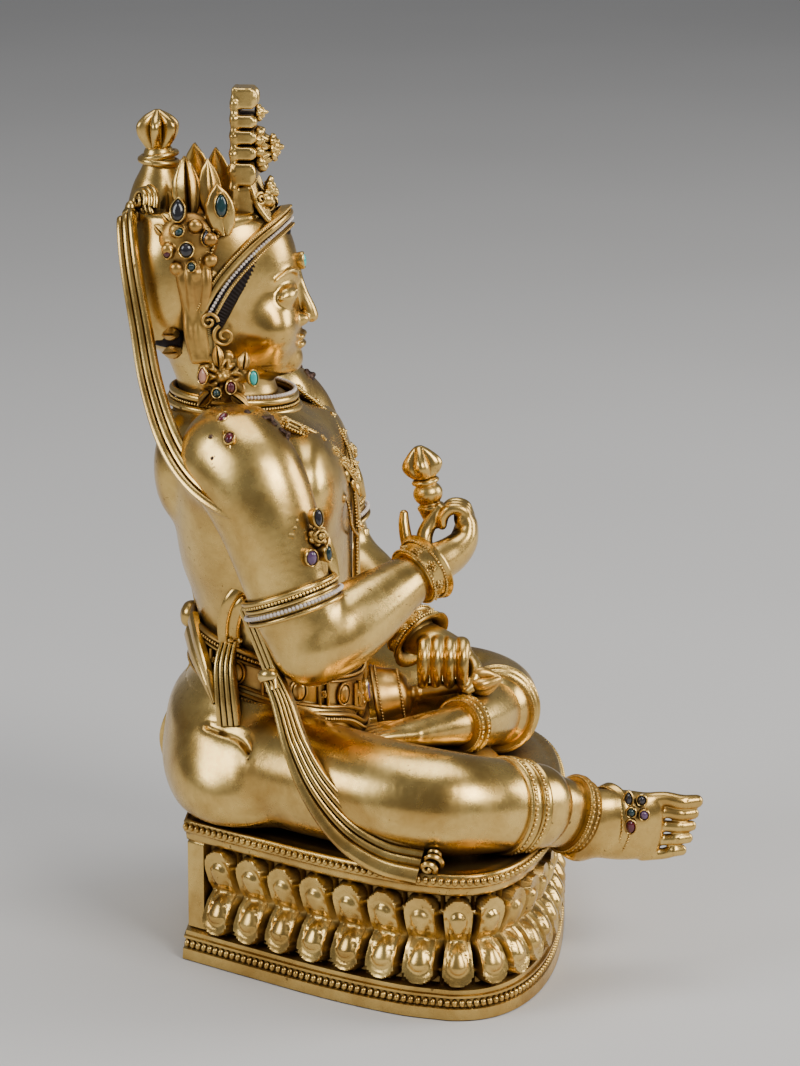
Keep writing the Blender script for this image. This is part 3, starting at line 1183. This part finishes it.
def crownSides():
    for side in (right, left):
        word = "right" if side == right else "left"
        outward = (side, -0.25, 0.1)
        parts = [
            leaf((side * 20, 76, 309), outward, (0, 0.03, 1), 12.6, 24.6, 6, 1.1, curl=-1),
            leaf((side * 17.5, 66.6, 309.4), outward, (0, 0.05, 1), 11, 22.8, 5, 0.2, curl=-1),
            leaf((side * 23.4, 61, 302.6), (side, -0.35, 0.05), (0, 0.16, 1), 13, 21, 5.5, 0.3, curl=1.4),
            leaf((side * 13, 84, 306), (side, 0.1, 0.2), (0, 0.1, 1), 9, 12, 4, 0.6),
        ]
        for k, (y, z) in enumerate(((81.5, 307), (84.8, 302.4), (86.6, 297.2), (85.4, 291.4), (80.6, 287.4), (75.4, 284.6))):
            parts.append(leaf((side * (24.6 + 0.3 * k), y, z), (side, 0.4, 0.2), (0, 0.7 - 0.35 * k, 0.5 - 0.25 * k), 5, 6.4, 3, 0.7))
        for k in range(5):   # granulated triangle beside the band
            rows = [[side * 26, 72 - k * 2.4, 309 - k * 1.2], [side * 28.6, 73.6 - k * 1.6, 292], [side * 29.4, 72.4, 276 + k]]
            parts.append(beadRow(smoothPath(rows, 6), 0.75, 1.5, wide=6, high=4))
        points, faces = heap(parts)
        addPiece(word + "_crown_leaves", points, faces, gold, sharp=60)
        clay = newClay((min(side * 14, side * 34), 54, 240), (max(side * 14, side * 34), 92, 316), 0.7)
        pressEgg(clay, (side * 23.4, 75.5, 298.5), (6.4, 12.5, 13), (0, 0, 1), blend=1)
        for k in range(4):
            y = 79 - k * 3.4
            pressTube(clay, [
                [side * 26, y, 294, 2.6], [side * (28.4 + k % 2), y - 1.4, 284, 2.4], [side * (27.6 + k % 2), y - 3.2 + k, 273, 2.2],
                [side * (29.4 - k % 2), y - 4 + k * 1.4, 263, 2.2], [side * 29.6, y - 6 + k * 1.6, 252, 2],
            ], 0.8)
        for k in range(7):
            angle = k * 0.9
            pressEgg(clay, (side * 29, 74 + 9 * math.cos(angle), 297 + 10 * math.sin(angle)), (2.6, 3, 3), blend=0.7)
        addSkin(word + "_ear_locks", clay, wornGold)


def earrings():
    for side in (right, left):
        parts = [
            blossom((side * 29.6, 61, 245), (side, -0.1, 0.1), 11, 5.4, 9),
            lathe((side * 28.6, 66, 252.5), (side * 0.3, 0.2, 1), [[-3, 2.6], [0, 3], [2, 2]], 16),
            leaf((side * 33, 66, 239), (side, 0.1, 0), (0, 0.5, -0.6), 6, 8, 3.4, 0.8),
            leaf((side * 33.4, 57, 238.6), (side, -0.1, 0), (0, -0.6, -0.5), 5.4, 8.4, 3.4, 0.8),
            leaf((side * 33, 53, 249), (side, -0.3, 0.1), (0, -0.2, 1), 5.6, 7.4, 3.2, 0.8),
            leaf((side * 32.4, 62.5, 250), (side, -0.1, 0.1), (0, 0.1, 1), 5, 8.6, 3.2, 0.8),
            leaf((side * 27, 80, 262), (side * 0.8, 0.5, 0), (0, 1, -0.1), 6, 8.6, 4, 0.5),
            leaf((side * 27, 79, 254.6), (side * 0.8, 0.5, 0), (0, 1, -0.15), 6, 9, 4, 0.5),
            spiral((side * 30.4, 60.5, 262), (side, -0.2, 0), 4.6, 1.5, 1.8, 1, 2),
            spiral((side * 31, 66.5, 268), (side, 0, 0), 3.6, 1.4, 1.7, 1, 0),
        ]
        points, faces = heap(parts)
        addPiece(("right" if side == right else "left") + "_earring", points, faces, wornGold, sharp=55)


def crownRibbons():
    for side in (right, left):
        rows = mirroredRows(side, [
            [13, 98.4, 305.5, 6, 3], [17, 100.6, 308.6, 7.4, 3.2], [22.4, 101, 306.4, 8, 3.4], [30, 98.5, 290, 8.6, 3.6], [36, 94, 267, 9, 3.8],
            [43, 89.3, 245, 9.6, 3.8], [53, 81, 224, 10.4, 3.8], [65, 70, 211, 10.8, 3.8], [74.5, 56, 203, 11, 3.6],
            [79.5, 40, 197.5, 11, 3.4], [79.5, 27, 194, 9, 3],
        ])
        outs = [(side, 0.5 - t * 0.8, 0.25 + t * 0.15) for t in np.linspace(0, 1, 8)]
        section = ridged(3, 0.36)
        points, faces = sweep(rows, outs, section, 9)
        addPiece(("right" if side == right else "left") + "_crown_ribbon", points, faces, gold, sharp=35)


# neck, shoulders and arms

def ellipseRing(centre, halfWidth, halfDepth, slope, count=90, angles=None):
    angle = np.linspace(0, 2 * math.pi, count + 1)[:-1] if angles is None else np.linspace(*angles, count)
    y = -np.cos(angle) * halfDepth
    path = np.stack([centre[0] + np.sin(angle) * halfWidth, centre[1] + y, centre[2] + slope * y], 1)
    return path, np.stack([np.sin(angle), -np.cos(angle), 0 * angle], 1)


def collar():
    parts = []
    for rise, grow, high, deep in ((0, 0, 3.4, 3), (-4.6, 1.6, 3, 2.6), (-8, 2.6, 2, 2)):
        path, outs = ellipseRing((0, 60, 233 + rise), 24.5 + grow, 25.5 + grow, 0.06)
        rows = np.column_stack([path, np.full(90, high), np.full(90, deep)])
        parts.append(sweep(rows, outs, roundSection(10), ring=True))
    path, _ = ellipseRing((0, 60, 230.6), 25.6, 26.6, 0.06)
    parts.append(beadRow(path, 0.7, 1.4, wide=6, high=4, ring=True))
    points, faces = heap(parts)
    addPiece("collar", points, faces, gold, sharp=50)
    path, _ = ellipseRing((0, 60, 235.3), 24.3, 25.3, 0.06, 90, (-2.05, 2.05))
    points, faces = beadRow(path, 0.9, 1.5, 0.8)
    addPiece("collar_pearl_string", points, faces, pearlSkin, stands=("collar_pearls",))


necklacePath = [[-31, 37, 226.6], [-22.5, 22.5, 217], [-12, 14, 205.6], [0, 11, 197.6], [12, 14, 205.6], [22.5, 22.5, 217], [31, 37, 226.6]]


def necklace():
    path = smoothPath(necklacePath, 12)
    outs = [(-0.7, -0.7, 0.5), (0, -1, 0.4), (0.7, -0.7, 0.5)]
    rows = np.column_stack([path, np.full(len(path), 5.4), np.full(len(path), 2.6)])
    parts = [sweep(rows, outs, ridged(3, 0.3), 1)]
    along = unit(np.gradient(path, axis=0))
    over = unit(np.cross((0, -1, 0.4), along))
    for rise in (-3, 3):
        parts.append(beadRow(path + over * rise + (0, -0.8, 0.4), 0.7, 1.4, wide=6, high=4))
    for i in range(13):
        k = int(round(i / 12 * (len(path) - 1)))
        out = np.array([path[k, 0] * 0.03, -1, 0.45])
        parts.append(blossom(path[k] + unit(out) * 1.2, out, 2.7, 2.4, 6))
        drop = path[k] - (0, 0, 4.6) + (0, -0.5, 0)
        parts.append(leaf(drop + (0, 0, 1.4), out, (0, 0.1, -1), 3.6, 5.4, 2.4, 0.5))
    chain = smoothPath([[0, 10.8, 198], [0, 9.4, 180], [0, 9.2, 160], [0, 9, 145], [0, 8, 124]], 8)
    rows = np.column_stack([chain, np.full(len(chain), 4.4), np.full(len(chain), 2.6)])
    parts.append(sweep(rows, (0, -1, 0), ridged(3, 0.4), 1))
    for x in (-2.6, 2.6):
        parts.append(beadRow(chain + (x, -0.3, 0), 0.7, 1.4, wide=6, high=4))
    for z in (176, 152):
        parts.append(blossom((0, 8.4, z), (0, -1, 0), 3.6, 2.6, 6))
    for side in (right, left):   # loops that hang on the chest beside the chain
        loop = smoothPath(mirroredRows(side, [[26, 27, 219], [25, 13, 196], [17, 10.4, 180], [3, 9, 173]]), 10)
        parts.append(beadRow(loop + (0, -0.6, 0), 0.8, 1.6, wide=6, high=4))
    points, faces = heap(parts)
    addPiece("necklace", points, faces, gold, sharp=45)


def shoulderOrnaments():
    for side in (right, left):
        word = "right" if side == right else "left"
        outward = unit((side * 0.8, -0.25, 0.55))
        centre = np.array([side * 66, 46, 225])
        across, up, _ = axesFor(outward)
        clay = newClay(centre - (20, 22, 22), centre + (20, 22, 22), 0.62)
        pressEgg(clay, centre - outward * 4, (14, 13, 5), outward, blend=1)
        seeds = [(0, 0, 4.4)] + [(6.6, k * 1.047, 3.8) for k in range(6)] + [(12, k * 0.628 + 0.3, 3.6) for k in range(10)]
        for reach, angle, radius in seeds:
            place = centre + across * math.cos(angle) * reach * 1.15 + up * math.sin(angle) * reach - outward * reach * 0.28
            pressEgg(clay, place, (radius, radius * 0.9, 3.2), outward, blend=0.6)
            pressEgg(clay, place + outward * 2.8, (radius * 0.42, radius * 0.42, 1.5), outward, blend=0.4, cut=True)
            for k in range(5):
                around = angle + k * 1.257
                spot = place + across * math.cos(around) * radius * 0.75 + up * math.sin(around) * radius * 0.75 + outward * 1.6
                pressEgg(clay, spot, (1.25, 1.25, 1.2), outward, blend=0.4)
        addSkin(word + "_shoulder_flower", clay, blackened)
        parts = []
        for y in (36, 28.6):
            path = smoothPath([[side * 70, y + 9, 218], [side * 73.4, y + 4.6, 211], [side * 74.6, y, 202]], 12)
            parts.append(sweep(np.column_stack([path, np.full(len(path), 4), np.full(len(path), 2.4)]), (side, 0, 0.3), ridged(2, 0.4), 1))
            for shift in (-1.2, 1.2):
                parts.append(beadRow(path + (side * 1.2, shift, 0), 1.1, 1.9, 0.8, wide=6, high=5))
        points, faces = heap(parts)
        addPiece(word + "_shoulder_tassels", points, faces, blackened, sharp=60)
        parts = [
            leaf((side * 55, 57, 233), (side * 0.4, 0.3, 1), (side, 0.3, -0.2), 8, 11, 4, 0.6),
            leaf((side * 54, 50, 231), (side * 0.5, 0, 1), (side, 0.1, -0.2), 7, 10, 4, 0.6),
            leaf((side * 66, 56, 229.6), (side, 0.3, 0.8), (side * 0.6, -0.2, -0.6), 8, 11, 4, 0.6),
            leaf((side * 52, 58, 234), (side * 0.3, 0.2, 1), (side * 0.2, 1, 0), 7, 10, 4, 0.6),
        ]
        points, faces = heap(parts)
        addPiece(word + "_shoulder_leaves", points, faces, gold, sharp=60)


def armletFrame(side):
    axis = unit((side * 0.1, -0.35, -1))
    across = unit(np.cross((side, 0, 0), axis))
    return axis, across, np.cross(axis, across)


def armletLine(side, drop=0, grow=0, angles=None):
    axis, across, over = armletFrame(side)
    turn = np.linspace(0, 2 * math.pi, 97)[:-1] if angles is None else np.linspace(*angles, 70)
    out = np.outer(np.cos(turn), over) + np.outer(np.sin(turn), across)
    path = np.outer(np.cos(turn) * (18.2 + grow), over) + np.outer(np.sin(turn) * (19.4 + grow), across)
    return path + (side * 69.2, 29.6, 162.6) + axis * drop, out


def armlets():
    for side in (right, left):
        word = "right" if side == right else "left"
        parts = []
        for drop, high, deep, grow in ((-4, 2.4, 2.4, 0), (-0.6, 2, 1.8, -0.4), (4.6, 2, 2.2, 0), (1.8, 5, 1.6, -1)):
            path, out = armletLine(side, drop, grow)
            parts.append(sweep(np.column_stack([path, np.full(96, high), np.full(96, deep)]), out, roundSection(8), ring=True))
        parts.append(beadRow(armletLine(side, -2.6, 0.8)[0], 0.75, 1.5, wide=6, high=4, ring=True))
        axis, across, over = armletFrame(side)
        upward = -axis
        parts += [
            leaf((side * 73, 18.4, 171), (side, -0.75, 0.15), upward, 14, 33, 5, 0.5),
            blossom((side * 76, 18.6, 190.4), (side, -0.75, 0.2), 4.6, 4.6, 7),
            spiral((side * 77.6, 17.6, 190.4), (side, -0.75, 0.2), 3, 1.7, 1.5, 1.4, 0),
            leaf((side * 76, 24, 172), (side, -0.2, 0.15), upward, 8, 16, 4, 0.7),
            leaf((side * 68, 13.4, 172), (side * 0.3, -1, 0.15), upward, 8, 16, 4, 0.7),
            leaf((side * 67.6, 11.4, 158), (side * 0.3, -1, -0.1), axis, 7, 14, 3, 0.8),
        ]
        points, faces = heap(parts)
        addPiece(word + "_armlet", points, faces, gold, sharp=50)
        points, faces = beadRow(armletLine(side, 1.7, 1)[0], 0.95, 1.62, 0.8, ring=True)
        addPiece(word + "_armlet_pearl_string", points, faces, pearlSkin, stands=(word + "_armlet_pearls",))


def bracelets():
    elbow = np.array(body["elbow"])
    for side, wrist in ((right, body["rightWrist"]), (left, body["leftWrist"])):
        start = elbow * (side, 1, 1)
        axis = unit(np.array(wrist) - start)
        place = start + (np.array(wrist) - start) * 0.87
        rows = [[-0.8, 9.6], [-0.6, 11.6], [0.2, 12.2], [1, 11.8], [1.4, 11.2], [4.4, 12], [7, 13.8], [8, 15], [8.6, 14.8], [8.4, 13], [6.8, 10.4], [5, 9]]
        parts = [lathe(place, axis, rows, 56)]
        across, up, out = axesFor(axis)
        turn = np.linspace(0, 2 * math.pi, 73)[:-1]
        circle = np.outer(np.cos(turn), across) + np.outer(np.sin(turn), up)
        parts.append(beadRow(place + circle * 12.3 + axis * 0.2, 0.7, 1.4, wide=6, high=4, ring=True))
        parts.append(beadRow(place + circle * 13.4 + axis * 6, 0.7, 1.4, wide=6, high=4, ring=True))
        for k in range(8):
            a = k * math.pi / 4 + 0.3
            facing = across * math.cos(a) + up * math.sin(a) - axis * 0.3
            parts.append(blossom(place + (across * math.cos(a) + up * math.sin(a)) * 11.4 + axis * 3.4, facing, 2.6, 2.2, 6))
        points, faces = heap(parts)
        addPiece(("right" if side == right else "left") + "_bracelet", points, faces, gold, sharp=45)


# belt, sash and scarf

def beltLine(height=0, grow=0, droop=0, count=140):
    turn = np.linspace(0, 2 * math.pi, count + 1)[:-1]
    power = 2 / 2.25
    x = np.sign(np.sin(turn)) * np.abs(np.sin(turn)) ** power * (46.8 + grow)
    y = 42.2 - np.sign(np.cos(turn)) * np.abs(np.cos(turn)) ** power * (34.6 + grow)
    bend = np.minimum(turn, 2 * math.pi - turn)
    z = 120.6 + height + 0.3 * (y - 42) - droop * np.exp(-(bend / 0.4) ** 2)
    return np.stack([x, y, z], 1), np.stack([np.sin(turn), -np.cos(turn), 0 * turn], 1)


def belt():
    parts = []
    for height, grow, high, deep, droop in (
        (0.4, -1, 19, 3, 4), (9.6, 0.4, 2.4, 3, 1), (5.6, 0.6, 1.6, 2.4, 2), (-5, 0.8, 1.8, 2.6, 7), (-8, 1.4, 2.4, 3.4, 9.5), (-10.8, 1.2, 1.8, 2.6, 10.5),
    ):
        path, out = beltLine(height, grow, droop)
        rows = np.column_stack([path, np.full(140, high), np.full(140, deep)])
        parts.append(sweep(rows, out, roundSection(8) if high < 6 else ridged(1, 0.1), ring=True))
    parts.append(beadRow(beltLine(7.6, 1.4, 1.5)[0], 0.85, 1.7, wide=6, high=4, ring=True))
    parts.append(beadRow(beltLine(-9.6, 2.8, 10)[0], 0.75, 1.5, wide=6, high=4, ring=True))
    path, out = beltLine(0.3, 1.2, 4.5)
    for k in range(0, 140, 7):
        facing = out[k]
        if k % 14 == 0:
            if 10 < k < 130:
                parts.append(collet(path[k], facing, (0, 0, 1), 3, 4.2, 0.9, 2))
                parts.append(cabochon(path[k], facing, (0, 0, 1), 2.9, 4.1, 2))
        else:
            for shift in (-2, 2):
                spot = path[(k + 140) % 140] + np.cross((0, 0, 1), facing) * shift
                parts.append(sweep([[*(spot - (0, 0, 5)), 1.7, 2.4], [*(spot + (0, 0, 5)), 1.7, 2.4]], facing, roundSection(8), 2))
            parts.append(blossom(path[k], facing, 1.8, 2, 6))
    clasp = np.array([0, 8.4, 103.4])
    parts += [
        lathe(clasp + (0, 3, 0), (0, -1, 0.1), [[0, 10], [2, 11], [3.2, 10.6], [4, 9.4], [4.6, 7.6], [5, 5]], 48, 8, stretch=(0.8, 1.06)),
        blossom(clasp + (0, -1, 0), (0, -1, 0.1), 8.4, 2.6, 10, stretch=(0.8, 1.1)),
    ]
    for side in (right, left):
        for shift in (8.6, 11):
            parts.append(sweep([
                [side * shift, 11.4, 112, 1.8, 2.6], [side * (shift + 0.6), 9.8, 104, 2, 3], [side * shift, 11.4, 95, 1.8, 2.6],
            ], (side * 0.3, -1, 0), roundSection(8)))
        parts.append(blossom((side * 14.8, 10.4, 107.6), (side * 0.3, -1, 0.1), 3, 2.6, 6))
        parts.append(blossom((side * 14.4, 10.4, 100), (side * 0.3, -1, 0.1), 3, 2.6, 6))
    points, faces = heap(parts)
    addPiece("belt", points, faces, wornGold, sharp=50)


def sashes():
    parts = []
    for side in (right, left):
        parts.append(sweep(mirroredRows(side, [
            [39, 57, 129, 8.4, 3.4], [44.4, 58.4, 142, 9, 3.6], [47.6, 56, 153, 9.4, 3.8], [47, 51.6, 157.6, 9.4, 3.6], [44, 47.8, 151, 8.8, 3.2], [38, 45, 134, 7.6, 3],
        ]), (side, 0, 0.1), ridged(2, 0.25), 8))
        parts.append(sweep(mirroredRows(side, [
            [42, 58, 138, 7, 3.4], [48.4, 59.6, 128, 8.6, 4.4], [52.4, 58.6, 116, 9.4, 4.6], [54, 57.5, 104.4, 10, 4],
        ]), (side, 0.2, 0.1), ridged(4, 0.3), 6))
        parts.append(sweep(mirroredRows(side, [
            [20, 77, 137.5, 15, 3.2], [32, 73, 130, 13, 3.4], [41, 68, 121, 8, 3.2], [46, 64, 111.5, 2.6, 2.4],
        ]), (side * 0.6, 1, 0), ridged(2, 0.3), 6))
        parts.append(blossom((side * 43, 57, 137.6), (side, 0.3, 0.2), 4.4, 3.6, 7))
    parts.append(sweep([
        [0, 84, 226, 4, 3], [0, 86, 212, 5, 3.4], [0, 86.2, 196, 5.4, 3.4], [0, 82.4, 170, 5, 3.2], [0, 76.6, 146, 4.8, 3.2], [0, 75.8, 134, 4.6, 3.4],
    ], (0, 1, 0), ridged(3, 0.35), 8))
    parts.append(lathe((0, 75, 136), (0, 1, 0.15), smoothPath([[0, 4.2], [2, 5.6], [5, 5.8], [7.4, 4.4], [8.6, 1.6]], 4), 28, 5))
    parts.append(sweep([
        [0, 77, 133, 5.6, 4], [0, 77.6, 117, 6.4, 4], [0, 84.6, 101, 7, 4], [0, 91, 84, 6.8, 4], [0, 87.6, 67, 6.4, 3.6],
    ], (0, 1, 0), ridged(3, 0.35), 8))
    points, faces = heap(parts)
    addPiece("sashes", points, faces, gold, sharp=40)


def scarves():
    for side in (right, left):
        forward = 0 if side == right else 6
        section = ridged(5, 0.36, first=1.9)
        parts = [
            sweep(mirroredRows(side, [[62, 49, 157, 7.6, 4], [68, 42, 143, 7.4, 4.6], [72, 37.5, 133, 7.4, 5], [76, 36, 126, 7, 5]]), (side, 0.6, -0.2), ridged(3, 0.3), 6),
            lathe((side * 72.6, 38.4, 131.4), (side * 0.4, -0.2, -1), [[-2, 4.4], [-1, 5.2], [1, 5.4], [2.4, 4.6]], 24, 7),
        ]
        rows = [
            [72, 39, 134, 7.4, 5], [79, 33, 122, 9, 5], [87, 27, 106, 11, 4.8], [93.5, 18, 90, 14, 4.6],
            [98.5, 5 + forward, 76, 17.6, 4.4], [102.6, -10 + forward, 68.2, 20, 4], [104.6, -25 + forward, 65.6, 21.6, 3.6],
        ]
        outs = [(side, 0.25, 0.15 + 0.75 * t) for t in np.linspace(0, 1, 7)]
        parts.append(sweep(mirroredRows(side, rows), outs, section, 9))
        across = np.array([side * 0.75, 0.2, -0.5])
        for k, (shift, reach) in enumerate(((-9, 3.6), (-5, 4.4), (-1, 3.4), (3.2, 4.6), (7.4, 3.2))):
            place = np.array([side * (104 - abs(shift) * 0.1), -26 + forward - reach * 0.5, 65.8]) + across * shift * side * right
            parts.append(spiral(place + (0, -1.6, 1.4), (side * 0.8, 0.2, -0.5), reach, 1.3, 2.6, 1.4, 1.5 + k))
        points, faces = heap(parts)
        addPiece(("right" if side == right else "left") + "_scarf", points, faces, gold, sharp=40)


def hemBand(place, axis, radius, stretch=(1, 1), width=9, growth=-0.12):
    # two beaded bands round a leg
    across, up, out = axesFor(axis)
    turn = np.linspace(0, 2 * math.pi, 81)[:-1]
    circle = np.outer(np.cos(turn) * stretch[0], across) + np.outer(np.sin(turn) * stretch[1], up)
    at = lambda along, lift=0: np.asarray(place, float) + out * along + circle * (radius + growth * along + lift)
    rows = [[-0.6, radius - 2.4]]
    for start in (0, width * 0.54):
        size = radius + growth * start
        step = width * 0.46
        rows += [[start, size - 0.6], [start + 0.2, size + 0.4], [start + step * 0.16, size + 0.8], [start + step * 0.3, size + 0.1],
                 [start + step * 0.7, size + 0.1], [start + step * 0.84, size + 0.8], [start + step * 0.96, size + 0.3], [start + step, size - 0.8]]
    rows.append([width + 0.4, radius - 3])
    parts = [lathe(place, axis, rows, 64, stretch=stretch)]
    for along in (width * 0.23, width * 0.77):
        parts.append(beadRow(at(along, 0.3), 0.95, 2.1, wide=6, high=4, ring=True))
    for along in (width * 0.03, width * 0.97):
        parts.append(beadRow(at(along, 0), 0.5, 1, wide=6, high=4, ring=True))
    return parts


def hems():
    parts = hemBand((-79.6, -55.2, 80.4), (8.2, -9.2, -2.6), 19.2, (1, 1.02), 12)
    parts += hemBand((61.6, -47.6, 80.4), (-1, 0.02, 0.06), 17.6, (1, 1.04), 11)
    points, faces = heap(parts)
    addPiece("knee_hems", points, faces, gold, sharp=50)
    parts = hemBand((-56.6, -81.6, 70.4), (4.2, -5, -2.6), 13.4, (1, 1.18), 7, -0.3)
    parts += hemBand((18.4, -36.4, 85.4), (-6, 3.4, 0.7), 11.6, (1, 1.02), 7.4, -0.1)
    strap = smoothPath([[-38.6, -93, 75], [-44.6, -97.6, 78.6], [-49.4, -103, 76.4], [-53.2, -105.2, 70], [-54.2, -105.4, 63], [-52.6, -103.4, 56], [-47.6, -99.8, 49.6], [-41, -97, 49]], 9)
    rows = np.column_stack([strap, np.full(len(strap), 4), np.full(len(strap), 2.4)])
    outs = [(0, 0.2, 1), (-0.6, 0, 0.9), (-1, -0.2, 0.1), (-1, -0.1, 0), (-0.7, 0, -0.8), (0, 0, -1)]
    parts.append(sweep(rows, outs, ridged(1, 0.2), 1))
    for shift in (-1.7, 1.7):
        parts.append(beadRow(strap + (-0.9, shift, 0), 0.75, 1.5, wide=6, high=4))
    points, faces = heap(parts)
    addPiece("anklets", points, faces, gold, sharp=50)


# sceptre and bell

sceptre = {"place": (-8, -24, 178), "axis": (0, 0.205, 1)}
bellAxis = unit((6, -54.6, 9))


def vajra():
    stem = smoothPath([
        [-0.2, 3], [4, 4.2], [7.6, 5.2], [8.6, 5.6], [9.6, 5.4], [10.6, 4.3], [12.4, 5.6], [15, 6.2], [17.2, 5.4], [18.4, 4.4],
        [19.2, 5.5], [20, 5.8], [20.8, 5.3], [21.4, 4.2],
    ], 3).tolist()
    bud = smoothPath([
        [21, 4, 0.1], [23, 6.6, 0.3], [26, 8.4, 0.42], [28.6, 8, 0.5], [31, 6.2, 0.5], [33.4, 3.8, 0.35], [35, 1.6, 0.1],
    ], 5).tolist()
    parts = [lathe(sceptre["place"], sceptre["axis"], stem + bud[1:], 64, 4, sharpness=0.9)]
    points, faces = heap(parts)
    addPiece("sceptre", points, faces, gold, stands=("vajra",), sharp=60)


def bell():
    mouth = (24, 3.6, 93.6)
    body = smoothPath([
        [7, 6], [4.4, 10], [1.4, 12.6], [-0.1, 13.6], [-0.2, 14.8], [0.8, 15.2], [2.4, 14.2], [5, 13.2], [8, 12.4], [11, 11.4], [13.4, 9.4],
        [14.8, 7], [15.6, 4.4], [17, 3.2], [19, 3.6], [20.4, 3],
    ], 3).tolist()
    handle = smoothPath([[20.6, 3], [26, 3.2], [33, 3], [35.8, 3.4], [36.8, 5], [38, 5.5], [39.2, 5], [40, 3.6]], 3).tolist()
    bud = smoothPath([[40.4, 3.6, 0.1], [43, 6, 0.35], [46.4, 6.7, 0.45], [49.6, 5.6, 0.5], [52.6, 3.4, 0.3], [55, 1, 0.1]], 5).tolist()
    parts = [lathe(mouth, bellAxis, body + handle + bud[1:], 64, 4, sharpness=0.9)]
    across, up, out = axesFor(bellAxis)
    turn = np.linspace(0, 2 * math.pi, 61)[:-1]
    circle = np.outer(np.cos(turn), across) + np.outer(np.sin(turn), up)
    for along, radius in ((2.2, 14.3), (11.4, 11.2)):
        parts.append(beadRow(np.array(mouth) + out * along + circle * radius, 0.7, 1.5, wide=6, high=4, ring=True))
    points, faces = heap(parts)
    addPiece("hand_bell", points, faces, wornGold, stands=("bell",), sharp=60)


for build in (
    lotusThrone, throneBeads, torso, hipsAndThighs, headSkin, hair, rightHand, leftHand, rightFoot, leftFoot,
    inlaidStones, crownBand, hairStrip, frontLeaf, hairKnot, crownSides, earrings, crownRibbons, collar, necklace,
    shoulderOrnaments, armlets, bracelets, belt, sashes, scarves, hems, vajra, bell,
):
    build()
    print(build.__name__)
for side in (right, left):
    foreArm(side)


def addFloor():
    size = 8
    material, nodes, links = newMaterial("pale_floor")
    shader = nodes["Principled BSDF"]
    tone = ramp(nodes, links, noise(nodes, links, 1.5, 2), [(0.3, (0.62, 0.61, 0.6)), (0.7, (0.66, 0.65, 0.64))])
    links.new(tone, shader.inputs["Base Color"])
    shader.inputs["Roughness"].default_value = 0.85
    mesh = bpy.data.meshes.new("floor")
    mesh.from_pydata([(-size, -size, 0), (size, -size, 0), (size, size, 0), (-size, size, 0)], [], [(0, 1, 2, 3)])
    mesh.materials.append(material)
    floor = bpy.data.objects.new("floor", mesh)
    bpy.context.scene.collection.objects.link(floor)


addCamera()
addLights()
addFloor()

bpy.context.view_layer.update()
